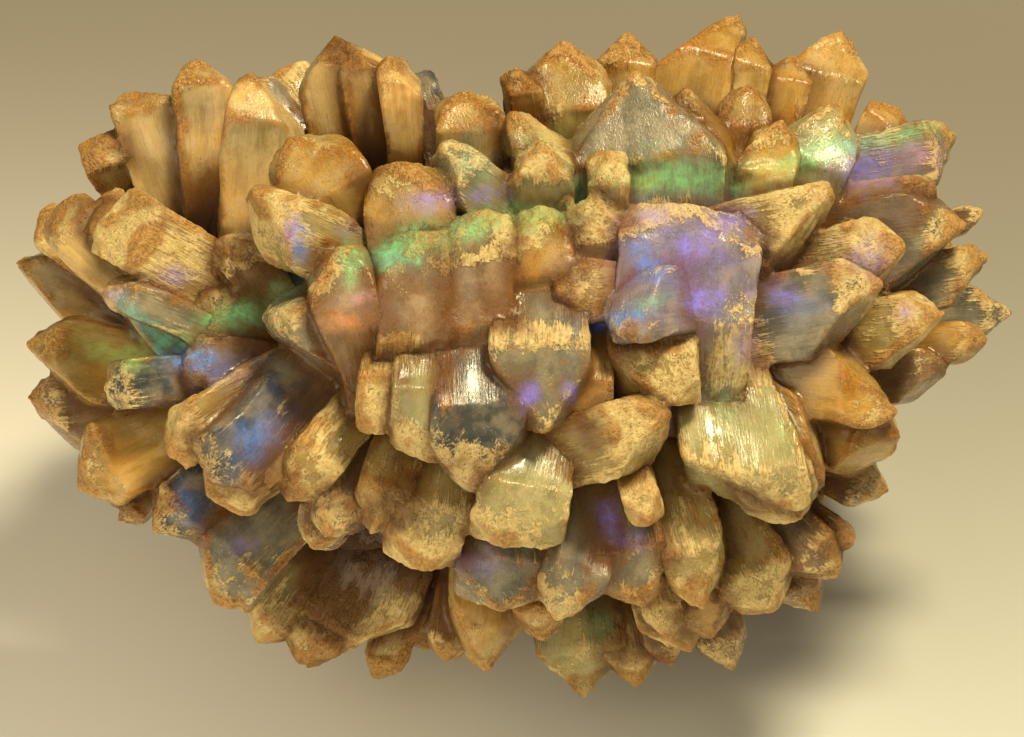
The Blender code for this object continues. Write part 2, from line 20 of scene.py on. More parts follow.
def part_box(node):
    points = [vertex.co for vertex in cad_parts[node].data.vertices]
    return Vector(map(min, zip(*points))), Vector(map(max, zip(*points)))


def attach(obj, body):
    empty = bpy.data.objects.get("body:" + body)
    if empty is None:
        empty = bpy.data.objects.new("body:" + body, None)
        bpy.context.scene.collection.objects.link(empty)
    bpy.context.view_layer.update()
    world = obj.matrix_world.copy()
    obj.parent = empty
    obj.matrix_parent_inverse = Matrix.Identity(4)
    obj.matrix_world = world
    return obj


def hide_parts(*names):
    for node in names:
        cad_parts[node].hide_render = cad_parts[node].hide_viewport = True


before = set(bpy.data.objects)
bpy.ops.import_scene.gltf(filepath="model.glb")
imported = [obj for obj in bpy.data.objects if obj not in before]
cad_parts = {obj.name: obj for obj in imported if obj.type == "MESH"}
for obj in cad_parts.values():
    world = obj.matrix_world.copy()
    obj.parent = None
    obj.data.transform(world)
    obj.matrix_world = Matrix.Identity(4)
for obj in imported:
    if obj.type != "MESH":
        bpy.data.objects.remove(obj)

LOG = logging.getLogger("opal_pineapple")
NODE = "opal_pineapple"
MM = 0.001

# The ball, as the solid has it
HALF_WIDTH = 51.0
HALF_GIRTH = 35.5
SQUARENESS = 2.4
CORE_SHARE = 0.64
ROOT_SHARE = 0.78
SHOW_TILT = 38.0
CENTRE_HEIGHT = 31.5
ROOT_DEPTH = 8.0

# The back and the underside, as the solid has them
HIDDEN_SEED = 11
HIDDEN_COUNT = 158
HIDDEN_CLEARANCE = 8.2
HIDDEN_WIDTH = (8.0, 12.5)
HIDDEN_THICKNESS = (5.0, 7.5)
HIDDEN_REACH = (0.86, 1.0)
HIDDEN_SHOULDER = (0.8, 4.5)
HIDDEN_FRONT_SLOPE = (1.0, 3.0)
HIDDEN_BACK_SLOPE = (1.0, 2.0)
INNER_REACH = 0.76
OUTLINE_SPAN = 5.5
OUTLINE_MARGIN = 4.5
FLOOR_MARGIN = 0.6
SPINE_SHARE = 0.5
STEM_SHARE = 0.5
FEET = [(-21.0, -5.0), (22.0, -5.0), (-19.0, 13.0), (20.0, 13.0), (7.0, -9.0), (1.0, 17.0)]
FOOT_WIDTH = 9.0
FOOT_THICKNESS = 7.0
FOOT_OVERRUN = 1.6

# The rounded middle: its noise, its colour, and its crust, stain, painted shade and clearness
HEART_SEED = 5
HEART_LUMP = 3.0
HEART_BODY = (0.2, 0.09, 0.03, 1.0)
HEART_WEAR_AND_SHADE = (0.4, 0.8, 0.9, 0.0)

ACROSS = Vector((1.0, 0.0, 0.0))
RISE = Vector((0.0, math.sin(math.radians(SHOW_TILT)), math.cos(math.radians(SHOW_TILT))))
OUT = Vector((0.0, -math.cos(math.radians(SHOW_TILT)), math.sin(math.radians(SHOW_TILT))))

Pair = tuple[float, float]
Triple = tuple[float, float, float]
Colour = tuple[float, float, float]


class Look(Enum):
    """How a blade is coloured: its body colour, and how much sandy crust and iron stain it carries."""

    CREAM = ((0.60, 0.41, 0.165), 0.15, 0.6)
    HONEY = ((0.44, 0.27, 0.068), 0.3, 0.7)
    CRUSTED = ((0.42, 0.30, 0.10), 0.75, 0.55)
    PALE = ((0.33, 0.31, 0.15), 0.45, 0.35)
    GREY = ((0.20, 0.18, 0.135), 0.4, 0.5)
    SLATE = ((0.065, 0.072, 0.078), 0.35, 0.35)
    BROWN = ((0.25, 0.15, 0.08), 0.25, 0.4)
    VIOLET = ((0.21, 0.18, 0.21), 0.3, 0.3)

    @property
    def body(self) -> Colour:
        """The colour under the crust, in linear light."""
        return self.value[0]

    @property
    def crust(self) -> float:
        """How much sandy crust it carries, from 0 to 1."""
        return self.value[1]

    @property
    def stain(self) -> float:
        """How much iron stain it carries, from 0 to 1."""
        return self.value[2]


class Play(Enum):
    """The colours of the play of colour, in linear light."""

    GREEN = (0.24, 0.58, 0.24)
    LIME = (0.42, 0.58, 0.15)
    TEAL = (0.18, 0.50, 0.42)
    BLUE = (0.10, 0.22, 0.62)
    VIOLET = (0.26, 0.20, 0.80)
    PINK = (0.55, 0.25, 0.30)
    AMBER = (0.62, 0.20, 0.03)


@dataclass(frozen=True)
class Blade:
    """One blade as it is drawn on the show plane."""

    look: Look
    tip: Pair
    root: Pair
    width: float
    thick: float
    shoulders: Pair = (1.5, 1.5)
    slopes: Pair = (2.0, 1.5)
    lift: float = 0.0
    roll: float = 0.0
    flare: float = 0.75


@dataclass(frozen=True)
class Patch:
    """A patch of colour play on the show side."""

    play: Play
    middle: Pair
    half: Pair
    strength: float
    turn: float = 0.0


UPPER_LEFT = [
    Blade(Look.CREAM, (-41.2, 21.0), (-37.8, 13.0), 4.8, 4.0, (1.5, 0.8), (1.4, 1.0), -6.0),
    Blade(Look.CREAM, (-37.2, 26.4), (-32.4, 11.0), 7.2, 4.5, (1.0, 2.0), (1.9, 1.0), -3.0, 0.0, 0.66),
    Blade(Look.CREAM, (-30.5, 29.3), (-30.2, 12.0), 6.2, 4.5, (1.8, 2.8), (1.9, 1.0), -3.5, 0.0, 0.36),
    Blade(Look.CREAM, (-41.0, 14.8), (-34.0, 6.0), 5.6, 4.0, (1.5, 1.0), (1.8, 1.2), -2.0),
    Blade(Look.HONEY, (-47.8, 13.6), (-38.0, 5.0), 4.4, 3.5, (1.8, 1.0), (1.4, 1.2), -3.0),
    Blade(Look.CREAM, (-24.0, 27.8), (-25.0, 12.0), 8.4, 6.0, (2.8, 6.5), (4.1, 1.8), 1.0, 0.0, 0.8),
    Blade(Look.CREAM, (-19.6, 31.2), (-16.4, 18.0), 6.2, 5.0, (4.8, 1.0), (2.4, 1.2), -3.0),
    Blade(Look.CREAM, (-15.2, 31.4), (-12.8, 18.0), 5.4, 5.5, (0.8, 4.0), (2.4, 1.2), -4.0),
    Blade(Look.CREAM, (-11.0, 29.6), (-10.2, 16.0), 4.5, 5.0, (1.4, 3.2), (1.8, 1.2), -4.0),
    Blade(Look.HONEY, (-21.6, 21.6), (-15.5, 12.0), 9.4, 7.0, (3.0, 4.2), (5.5, 1.2), 2.0),
    Blade(Look.CRUSTED, (-26.6, 13.4), (-15.0, 8.4), 7.4, 8.0, (5.0, 1.0), (2.6, 1.2), 2.5, 0.0, 0.85),
    Blade(Look.HONEY, (-10.4, 18.8), (-8.4, 8.0), 9.2, 7.0, (2.0, 3.0), (6.3, 1.2), 1.0, -10.0, 0.8),
    Blade(Look.PALE, (-8.0, 18.8), (1.6, 11.6), 5.8, 6.5, (3.8, 1.0), (2.4, 1.4), 0.5, 8.0, 0.9),
]

UPPER_MIDDLE = [
    Blade(Look.HONEY, (-4.5, 26.4), (-4.0, 14.0), 6.8, 5.0, (2.6, 2.6), (3.4, 1.5), -3.5),
    Blade(Look.CREAM, (2.0, 24.2), (4.2, 13.0), 7.0, 5.0, (1.1, 6.0), (3.3, 1.5), -2.0),
    Blade(Look.HONEY, (5.4, 30.8), (5.4, 17.0), 9.4, 6.5, (3.8, 4.4), (5.9, 2.2), -5.5),
    Blade(Look.HONEY, (0.6, 28.4), (2.2, 17.0), 3.6, 4.0, (1.5, 2.3), (2.1, 1.5), -6.5),
    Blade(Look.PALE, (3.1, 20.6), (3.4, 9.0), 6.6, 5.5, (3.6, 3.6), (2.4, 3.0), 1.5),
    Blade(Look.HONEY, (11.4, 32.1), (10.8, 20.0), 6.6, 5.0, (3.4, 3.0), (3.0, 1.5), -10.0),
    Blade(Look.GREY, (12.8, 27.8), (14.0, 10.0), 15.4, 9.0, (7.4, 8.2), (7.5, 2.4), 1.0, 0.0, 0.95),
    Blade(Look.CRUSTED, (9.4, 19.8), (9.6, 9.0), 4.2, 4.5, (2.3, 1.9), (2.1, 1.5), 2.0),
    Blade(Look.CRUSTED, (8.2, 15.8), (8.8, 6.0), 6.0, 5.0, (2.3, 3.4), (4.2, 2.1), 1.5, 8.0),
    Blade(Look.HONEY, (3.0, 14.4), (3.6, 4.0), 6.4, 7.5, (3.4, 3.0), (5.4, 2.1), 2.0),
    Blade(Look.HONEY, (18.4, 26.2), (19.4, 13.0), 7.4, 6.0, (3.4, 6.3), (5.1, 1.5), -2.0),
]

UPPER_RIGHT = [
    Blade(Look.HONEY, (20.0, 34.9), (16.8, 20.0), 9.6, 6.0, (8.2, 1.7), (5.4, 2.2), -12.0, 0.0, 0.8),
    Blade(Look.HONEY, (25.0, 31.6), (22.8, 20.0), 4.0, 4.5, (1.7, 2.7), (2.7, 1.5), -10.0),
    Blade(Look.HONEY, (28.8, 30.2), (26.0, 19.0), 4.6, 4.5, (2.0, 2.4), (2.7, 1.5), -13.0),
    Blade(Look.HONEY, (33.2, 32.8), (28.6, 18.0), 8.2, 6.0, (5.4, 4.1), (5.4, 1.8), -9.0, 0.0, 0.8),
    Blade(Look.HONEY, (23.6, 26.6), (22.4, 14.0), 5.6, 5.5, (2.7, 2.4), (3.6, 1.5), -4.5),
    Blade(Look.PALE, (31.8, 25.0), (27.6, 12.0), 9.2, 6.5, (5.4, 4.1), (5.9, 1.8), -2.5),
    Blade(Look.HONEY, (26.4, 23.0), (24.0, 11.0), 6.2, 5.5, (3.1, 2.7), (4.5, 1.5), -2.0),
    Blade(Look.CREAM, (39.8, 24.2), (33.0, 15.0), 6.8, 4.6, (1.4, 2.4), (2.7, 1.5), -10.0),
    Blade(Look.GREY, (45.4, 19.8), (27.0, 16.4), 7.0, 7.0, (1.4, 3.4), (3.0, 1.5), 1.5, 0.0, 0.9),
    Blade(Look.HONEY, (42.8, 15.6), (28.0, 13.4), 4.6, 5.0, (1.4, 2.7), (2.1, 1.5), 0.5),
    Blade(Look.CRUSTED, (32.6, 12.6), (21.0, 10.4), 8.4, 7.5, (1.0, 7.1), (3.9, 1.8), 1.5, 0.0, 0.9),
    Blade(Look.GREY, (45.4, 11.4), (28.0, 9.4), 9.8, 6.0, (4.1, 8.3), (3.0, 1.8), 1.5, 0.0, 0.85),
    Blade(Look.BROWN, (48.6, 14.0), (38.0, 11.0), 3.0, 3.0, (2.0, 2.4), (1.2, 1.2), -2.0, 0.0, 0.9),
    Blade(Look.CRUSTED, (39.4, 9.6), (26.0, 7.6), 7.6, 6.5, (3.4, 5.1), (4.5, 1.8), 1.5),
]

RIGHT = [
    Blade(Look.GREY, (36.8, 4.6), (19.0, 1.4), 9.8, 6.5, (3.6, 8.3), (3.2, 1.9), 3.0, -4.0, 0.8),
    Blade(Look.HONEY, (38.8, -2.8), (22.0, -2.0), 10.4, 7.0, (8.8, 2.0), (4.8, 1.9), 1.5, 0.0, 0.8),
    Blade(Look.CRUSTED, (42.8, 2.6), (28.0, 1.0), 7.8, 5.5, (3.2, 6.6), (3.2, 1.9), 1.0),
    Blade(Look.GREY, (50.8, 4.4), (36.0, 3.4), 6.4, 5.0, (5.2, 3.6), (2.2, 1.9), 0.0, 0.0, 0.8),
    Blade(Look.GREY, (47.8, 8.2), (33.0, 4.5), 6.0, 5.0, (2.0, 5.1), (2.6, 1.6), -1.0),
    Blade(Look.HONEY, (47.6, 0.8), (34.0, 0.5), 4.6, 4.5, (2.4, 3.2), (1.9, 1.6), -2.0),
    Blade(Look.BROWN, (44.0, -2.4), (31.0, -3.5), 5.6, 5.0, (2.4, 4.8), (2.6, 1.6), -6.0),
    Blade(Look.HONEY, (39.2, -10.2), (26.0, -7.0), 8.6, 6.5, (3.2, 6.4), (3.8, 2.2), 0.5),
    Blade(Look.BROWN, (37.6, -14.4), (26.0, -9.5), 5.6, 5.0, (2.8, 3.6), (2.6, 1.6), -5.0),
    Blade(Look.CREAM, (32.2, -12.0), (18.0, -3.0), 8.6, 5.5, (7.3, 2.8), (3.5, 1.9), 1.0),
    Blade(Look.PALE, (23.0, -16.4), (20.8, -1.2), 13.4, 6.5, (1.0, 6.2), (3.2, 2.5), 3.0, 0.0, 0.36),
    Blade(Look.PALE, (27.4, -17.6), (20.6, 1.0), 8.6, 6.5, (3.0, 4.0), (3.5, 1.9), 1.8, 0.0, 0.4),
    Blade(Look.BROWN, (33.8, -19.4), (24.0, -12.0), 3.2, 3.2, (1.6, 2.0), (1.6, 1.3), -4.0),
    Blade(Look.BROWN, (32.4, -22.4), (21.0, -12.0), 6.0, 5.5, (2.8, 3.2), (2.9, 1.6), -2.5),
    Blade(Look.BROWN, (30.8, -26.0), (21.0, -14.0), 5.4, 5.0, (2.8, 3.2), (2.6, 1.6), -4.0),
    Blade(Look.CRUSTED, (26.4, -26.4), (19.0, -13.0), 7.4, 6.0, (3.6, 3.2), (4.2, 2.2), 0.5),
]

CENTRE = [
    Blade(Look.GREY, (-25.2, 3.0), (-8.0, 1.0), 14.4, 9.0, (12.2, 12.2), (2.5, 2.5), 1.0, -6.0, 1.0),
    Blade(Look.BROWN, (-17.6, 9.8), (-14.6, 0.4), 6.8, 8.0, (3.6, 2.2), (6.0, 1.8), 3.0, 0.0, 0.95),
    Blade(Look.BROWN, (-10.2, 11.8), (-9.6, 1.6), 8.0, 10.0, (3.2, 0.6), (8.0, 2.5), 2.5, 0.0, 0.9),
    Blade(Look.BROWN, (-3.4, 13.5), (-2.6, 1.6), 7.4, 10.0, (2.4, 1.2), (8.5, 2.5), 2.0, 0.0, 0.9),
    Blade(Look.VIOLET, (18.2, 14.8), (16.8, 2.0), 14.6, 12.0, (3.2, 4.0), (9.0, 4.2), 2.0, 3.0, 0.8),
    Blade(Look.VIOLET, (9.4, 3.4), (18.6, 5.2), 7.0, 6.0, (1.6, 5.5), (2.6, 1.8), 4.8, 0.0, 0.9),
    Blade(Look.HONEY, (4.4, 5.6), (13.0, 5.2), 6.4, 5.0, (2.4, 2.2), (2.5, 1.8), 2.0),
    Blade(Look.CRUSTED, (-12.9, -8.4), (-12.6, 1.0), 4.0, 6.0, (1.6, 2.4), (4.3, 1.8), 2.5),
    Blade(Look.PALE, (-8.8, -11.4), (-8.4, 3.0), 5.8, 7.0, (0.6, 2.4), (6.0, 1.8), 2.5),
    Blade(Look.SLATE, (-2.5, -14.0), (-3.2, 2.0), 8.6, 8.0, (5.6, 3.0), (6.5, 1.8), 3.0, 0.0, 0.9),
    Blade(Look.GREY, (3.2, -8.2), (2.8, 3.0), 9.6, 8.0, (5.0, 5.6), (6.5, 1.8), 3.5, 0.0, 0.9),
    Blade(Look.HONEY, (8.0, -9.0), (7.8, 1.0), 4.6, 6.0, (2.6, 3.1), (4.3, 1.8), 2.0),
    Blade(Look.CRUSTED, (16.0, -7.4), (4.2, -10.4), 7.4, 6.5, (3.2, 5.4), (4.6, 2.2), 3.0, 0.0, 0.9),
    Blade(Look.CRUSTED, (14.6, -5.8), (13.8, 3.0), 8.6, 6.0, (1.8, 3.8), (4.2, 1.8), 2.0, 0.0, 0.9),
    Blade(Look.PALE, (0.4, -19.6), (3.0, -6.0), 9.8, 7.0, (3.4, 2.2), (5.0, 2.2), 4.0, 0.0, 0.62),
    Blade(Look.GREY, (-0.8, -26.2), (-0.4, -12.0), 10.0, 7.0, (3.6, 3.8), (4.4, 2.9), 1.0, 0.0, 0.7),
    Blade(Look.GREY, (5.4, -26.8), (9.0, -10.0), 6.6, 6.5, (4.8, 2.6), (4.0, 2.5), 3.0, 0.0, 0.85),
    Blade(Look.CRUSTED, (13.8, -17.4), (10.4, -7.0), 3.8, 4.5, (2.2, 2.2), (2.9, 1.8), 2.5),
    Blade(Look.GREY, (13.0, -25.0), (9.6, -10.0), 7.4, 6.5, (3.1, 3.1), (4.7, 2.5), 1.5),
    Blade(Look.CRUSTED, (20.0, -25.2), (15.0, -9.0), 7.0, 7.5, (5.7, 3.5), (4.7, 2.5), 2.0),
    Blade(Look.CRUSTED, (-8.8, -21.9), (-6.6, -8.0), 8.2, 7.0, (3.0, 3.0), (5.0, 2.9), 2.0),
    Blade(Look.CRUSTED, (-13.8, -18.4), (-9.6, -6.0), 6.0, 6.0, (3.1, 3.1), (3.6, 2.5), 1.0),
    Blade(Look.SLATE, (-17.8, -18.8), (-12.0, -6.0), 5.0, 5.5, (3.1, 2.6), (3.6, 2.5), 0.5),
    Blade(Look.GREY, (-19.8, -19.8), (-14.0, -9.0), 5.2, 5.0, (2.6, 2.6), (3.2, 2.2), -2.0),
    Blade(Look.CRUSTED, (-21.6, -14.6), (-14.0, -5.0), 6.0, 6.0, (3.1, 3.5), (4.0, 2.5), 1.0),
]

LEFT = [
    Blade(Look.HONEY, (-50.2, 8.8), (-36.0, 3.5), 9.0, 5.5, (7.6, 7.2), (1.9, 1.9), 0.0, 0.0, 0.8),
    Blade(Look.CREAM, (-45.2, 14.4), (-29.0, -1.0), 6.6, 6.0, (1.6, 1.2), (2.2, 1.6), 1.0, 0.0, 0.9),
    Blade(Look.CRUSTED, (-40.6, 13.2), (-26.0, 5.4), 7.6, 6.0, (1.6, 2.8), (3.8, 1.6), 3.0, 0.0, 0.8),
    Blade(Look.GREY, (-40.2, 6.0), (-25.0, -0.5), 3.6, 6.0, (1.6, 1.6), (2.2, 1.6), 2.0),
    Blade(Look.HONEY, (-48.8, -0.2), (-32.0, -2.0), 8.8, 6.0, (7.2, 4.8), (2.9, 2.2), 0.0, 0.0, 0.8),
    Blade(Look.SLATE, (-40.4, -3.8), (-28.0, -2.0), 5.0, 5.0, (2.4, 2.4), (2.2, 1.9), 1.5),
    Blade(Look.BROWN, (-32.4, -1.0), (-22.0, -1.4), 4.6, 4.5, (2.0, 2.0), (1.9, 1.9), -2.5),
    Blade(Look.BROWN, (-48.0, -6.6), (-33.0, -4.6), 7.8, 5.5, (5.2, 2.0), (2.6, 1.9), -2.5),
    # Painted shade: the next blade sits in a shaded valley and its dark brown look stands in for that shade
    Blade(Look.BROWN, (-28.6, 11.6), (-22.0, 3.0), 5.4, 5.5, (2.8, 2.8), (2.6, 1.9), -4.0),
    Blade(Look.BROWN, (-31.0, 5.4), (-21.0, 0.0), 5.6, 5.0, (2.8, 2.8), (2.6, 1.9), -5.0),
]

LOWER_LEFT = [
    Blade(Look.SLATE, (-28.6, -13.0), (-17.0, 0.0), 9.0, 4.5, (2.8, 2.0), (1.9, 1.9), 3.0, -18.0, 0.85),
    Blade(Look.CRUSTED, (-33.8, -9.4), (-21.0, -1.5), 6.0, 5.5, (2.0, 3.2), (2.9, 1.9), 2.0),
    Blade(Look.CRUSTED, (-29.2, -14.6), (-14.0, -4.0), 7.0, 6.0, (2.8, 2.4), (4.2, 2.2), 1.5, 10.0, 0.8),
    Blade(Look.HONEY, (-43.2, -13.0), (-26.0, -4.0), 9.0, 6.5, (3.2, 3.2), (3.5, 2.2), 1.0, 0.0, 0.75),
    Blade(Look.SLATE, (-35.2, -18.2), (-23.0, -7.0), 6.6, 5.5, (2.8, 3.2), (2.9, 1.9), -1.5),
    Blade(Look.BROWN, (-39.4, -17.2), (-28.0, -8.0), 4.0, 4.0, (2.0, 2.0), (1.9, 1.6), -4.0),
    Blade(Look.GREY, (-30.6, -24.4), (-17.0, -10.0), 8.4, 6.5, (2.4, 4.0), (4.5, 2.6), 0.5, 0.0, 0.7),
    Blade(Look.CRUSTED, (-25.8, -29.0), (-16.0, -15.0), 5.0, 4.5, (2.4, 2.4), (2.2, 1.6), -6.0),
    Blade(Look.CRUSTED, (-18.2, -33.0), (-9.0, -14.0), 11.4, 7.5, (9.7, 3.2), (4.8, 2.6), -3.0, 0.0, 0.7),
    Blade(Look.CRUSTED, (-21.4, -31.0), (-13.0, -16.0), 6.0, 5.0, (2.4, 2.4), (2.2, 1.6), -5.5),
    Blade(Look.HONEY, (-2.4, -32.2), (-1.8, -16.0), 9.4, 6.5, (6.8, 6.8), (3.8, 2.2), -1.5),
    Blade(Look.HONEY, (3.0, -29.2), (1.6, -16.0), 5.4, 5.0, (2.8, 2.8), (2.6, 1.6), -2.5),
    Blade(Look.CRUSTED, (-13.8, -33.2), (-8.0, -19.0), 4.4, 4.0, (2.4, 2.4), (1.9, 1.6), -9.0),
    Blade(Look.BROWN, (-6.6, -31.0), (-4.6, -18.0), 5.0, 4.5, (2.4, 2.4), (1.9, 1.6), -8.0),
]

LOWER_RIGHT = [
    Blade(Look.PALE, (7.6, -35.0), (6.6, -16.0), 9.0, 7.5, (5.2, 5.2), (4.8, 2.6), -1.0, 0.0, 0.75),
    Blade(Look.CRUSTED, (13.2, -33.6), (9.6, -18.0), 5.8, 5.0, (3.2, 3.2), (2.6, 1.9), -4.5),
    Blade(Look.BROWN, (16.4, -32.2), (12.0, -18.0), 5.0, 4.5, (2.8, 2.8), (2.2, 1.6), -5.5),
    Blade(Look.CRUSTED, (17.8, -30.2), (12.0, -15.0), 7.4, 5.5, (3.2, 3.6), (3.2, 1.9), -1.5),
    Blade(Look.CRUSTED, (16.4, -28.6), (12.0, -14.0), 4.2, 4.5, (2.4, 2.4), (2.6, 1.6), 0.0),
    Blade(Look.HONEY, (20.4, -28.8), (14.6, -14.0), 5.2, 5.0, (2.8, 2.8), (2.9, 1.6), -0.5),
    Blade(Look.BROWN, (22.6, -31.6), (16.0, -17.0), 5.8, 5.0, (3.2, 2.8), (2.6, 1.6), -4.5),
]

SHOWN_BLADES = (UPPER_LEFT + UPPER_MIDDLE + UPPER_RIGHT + RIGHT + CENTRE + LEFT + LOWER_LEFT
                + LOWER_RIGHT)

PATCHES = [
    Patch(Play.VIOLET, (-21.5, 11.8), (0.8, 1.3), 0.8),
    Patch(Play.BLUE, (-20.5, 10.0), (0.9, 1.7), 0.9),
    Patch(Play.BLUE, (-16.1, 11.8), (1.3, 0.8), 0.35),
    Patch(Play.VIOLET, (-39.0, 5.4), (1.0, 0.7), 0.6),
    Patch(Play.TEAL, (-36.4, 2.6), (3.2, 1.0), 0.85, -48.0),
    Patch(Play.GREEN, (-34.0, 1.0), (2.0, 0.9), 0.9, -20.0),
    Patch(Play.LIME, (-32.3, 1.0), (1.3, 0.7), 0.6),
    Patch(Play.VIOLET, (-33.0, 7.4), (1.5, 0.9), 0.75),
    Patch(Play.GREEN, (-27.5, 3.6), (3.0, 1.1), 1.0, 12.0),
    Patch(Play.LIME, (-39.5, -0.4), (3.2, 1.2), 0.7, -12.0),
    Patch(Play.LIME, (-37.0, -0.3), (1.0, 0.7), 1.0),
    Patch(Play.BLUE, (-31.2, -1.0), (2.6, 1.2), 1.0),
    Patch(Play.BLUE, (-28.6, -2.0), (2.6, 1.4), 0.4),
    Patch(Play.GREEN, (-22.0, 5.5), (2.2, 1.3), 0.35, 30.0),
    Patch(Play.GREEN, (-15.6, 8.0), (0.9, 2.3), 0.8),
    Patch(Play.PINK, (-14.9, 5.0), (1.2, 0.8), 0.7),
    Patch(Play.AMBER, (-16.0, 2.8), (1.9, 1.0), 0.6),
    Patch(Play.GREEN, (-10.2, 10.2), (3.3, 1.5), 0.95, 20.0),
    Patch(Play.TEAL, (-11.6, 9.0), (1.6, 1.0), 0.7),
    Patch(Play.GREEN, (-3.2, 12.2), (3.4, 1.3), 0.95, 20.0),
    Patch(Play.GREEN, (2.6, 13.4), (2.4, 1.0), 0.7, 5.0),
    Patch(Play.VIOLET, (1.9, -4.5), (0.9, 1.2), 1.0),
    Patch(Play.VIOLET, (5.7, -4.0), (0.6, 0.9), 0.8),
    Patch(Play.VIOLET, (14.0, 13.0), (1.4, 0.9), 0.8),
    Patch(Play.VIOLET, (18.0, 10.2), (1.4, 1.0), 1.0),
    Patch(Play.VIOLET, (21.0, 12.5), (1.8, 1.0), 0.9, 20.0),
    Patch(Play.BLUE, (14.0, 7.5), (1.3, 1.0), 0.9),
    Patch(Play.BLUE, (11.0, 3.2), (2.4, 0.9), 1.0, 20.0),
    Patch(Play.VIOLET, (19.0, 4.8), (1.8, 1.0), 0.9),
    Patch(Play.VIOLET, (16.5, 9.0), (7.0, 5.0), 0.25),
    Patch(Play.BLUE, (12.6, 9.8), (1.2, 1.0), 0.8),
    Patch(Play.GREEN, (13.6, 4.6), (2.0, 0.7), 0.5, 15.0),
    Patch(Play.LIME, (2.5, 12.5), (2.1, 1.0), 0.6),
    Patch(Play.GREEN, (7.0, 14.5), (1.2, 1.7), 0.4),
    Patch(Play.GREEN, (17.2, 17.0), (5.6, 1.5), 0.95, -3.0),
    Patch(Play.LIME, (13.3, 16.5), (1.1, 0.7), 1.0),
    Patch(Play.VIOLET, (-7.8, 14.6), (2.5, 1.0), 0.55),
    Patch(Play.VIOLET, (-2.5, 15.2), (1.7, 0.8), 0.6),
    Patch(Play.TEAL, (-3.8, 18.0), (2.0, 1.2), 0.5),
    Patch(Play.TEAL, (-4.0, 20.8), (1.6, 1.4), 0.3),
    Patch(Play.GREEN, (3.6, 21.0), (2.4, 1.2), 0.3),
    Patch(Play.GREEN, (29.8, 19.2), (4.4, 1.3), 0.85, 20.0),
    Patch(Play.VIOLET, (36.0, 18.6), (3.8, 2.0), 0.7, 6.0),
    Patch(Play.PINK, (41.8, 19.5), (2.3, 1.6), 0.5),
    Patch(Play.GREEN, (38.8, 21.3), (6.0, 0.7), 0.8, 17.0),
    Patch(Play.LIME, (45.0, 19.8), (0.7, 3.5), 0.35),
    Patch(Play.VIOLET, (35.5, 9.0), (2.1, 1.6), 0.55),
    Patch(Play.VIOLET, (26.8, 5.3), (1.4, 0.9), 0.8),
    Patch(Play.BLUE, (29.0, 4.0), (2.6, 1.2), 0.35, 25.0),
    Patch(Play.VIOLET, (23.0, 0.2), (1.2, 1.5), 0.5),
    Patch(Play.VIOLET, (39.1, 3.6), (0.9, 0.8), 0.6),
    Patch(Play.BLUE, (-25.0, -8.5), (1.8, 3.2), 0.7, -40.0),
    Patch(Play.BLUE, (-32.0, -15.3), (1.2, 1.7), 0.5),
    Patch(Play.VIOLET, (-26.5, -19.3), (1.3, 1.0), 0.3),
    Patch(Play.VIOLET, (9.8, -16.8), (0.9, 1.7), 0.5),
    Patch(Play.VIOLET, (12.0, -18.8), (1.3, 0.9), 0.6),
    Patch(Play.VIOLET, (-2.5, -21.0), (2.0, 1.5), 0.25),
    Patch(Play.GREEN, (21.0, -5.0), (1.6, 3.2), 0.25),
    Patch(Play.GREEN, (27.0, -8.0), (1.4, 1.2), 0.3),
    Patch(Play.GREEN, (9.0, -27.5), (1.3, 1.8), 0.3),
]

# Places on the show side where sandy crust lies: middle, half sizes, turn in degrees, strength
CRUST_BANDS = [
    ((13.5, 13.4), (4.8, 1.2), 18.0, 1.0),
    ((2.8, 1.6), (5.2, 1.6), 0.0, 1.0),
    ((-4.2, -9.8), (1.8, 2.2), 0.0, 0.8),
    ((20.5, -10.2), (2.6, 2.4), -30.0, 0.7),
    ((-35.5, 10.4), (4.8, 2.0), -25.0, 0.8),
    ((1.0, 11.4), (2.6, 2.4), 0.0, 0.9),
    ((-3.4, 8.8), (3.4, 0.8), 12.0, 0.9),
    ((22.2, -1.2), (3.2, 4.0), 0.0, 1.0),
    ((27.0, 10.8), (4.5, 1.2), 25.0, 0.8),
    ((-10.8, 0.6), (3.0, 1.4), 0.0, 0.8),
]

# Places on the show side where rust sits in dark specks
RUST_SPOTS = [(18.6, 24.0, 2.2), (29.6, 24.4, 2.0), (6.4, 24.2, 0.9), (28.0, 25.6, 1.0),
              (20.6, 22.4, 1.2)]


def reach(direction: Vector) -> float:
    """Distance from the middle of the ball to its tips along a direction.

    Args:
        direction: any vector that isn't zero.

    Returns:
        The distance in mm.
    """
    unit = direction.normalized()
    girth = math.hypot(unit.y, unit.z)
    share = abs(unit.x / HALF_WIDTH) ** SQUARENESS + (girth / HALF_GIRTH) ** SQUARENESS
    return share ** (-1.0 / SQUARENESS)


def height_over(spot: Pair, share: float) -> float:
    """Distance off the show plane of the ball's form.

    Args:
        spot: across and rise on the show plane, in mm.
        share: what the form is scaled by.

    Returns:
        The distance in mm, and 0 outside the form.
    """
    across, rise = spot
    filled = (abs(across) / (HALF_WIDTH * share)) ** SQUARENESS
    filled += (abs(rise) / (HALF_GIRTH * share)) ** SQUARENESS
    return HALF_GIRTH * share * max(0.0, 1.0 - filled) ** (1.0 / SQUARENESS)


def on_show_side(spot: Pair, out: float) -> Vector:
    """A point in mm from the middle, from its place on the show plane and its distance off it."""
    return ACROSS * spot[0] + RISE * spot[1] + OUT * out


def on_show_plane(point: Vector) -> Pair:
    """Looks at a point along the show side.

    Args:
        point: its place in mm from the middle.

    Returns:
        Its distance from the middle in mm, and its direction in radians.
    """
    across = point.dot(ACROSS)
    rise = point.dot(RISE)
    return math.hypot(across, rise), math.atan2(rise, across)


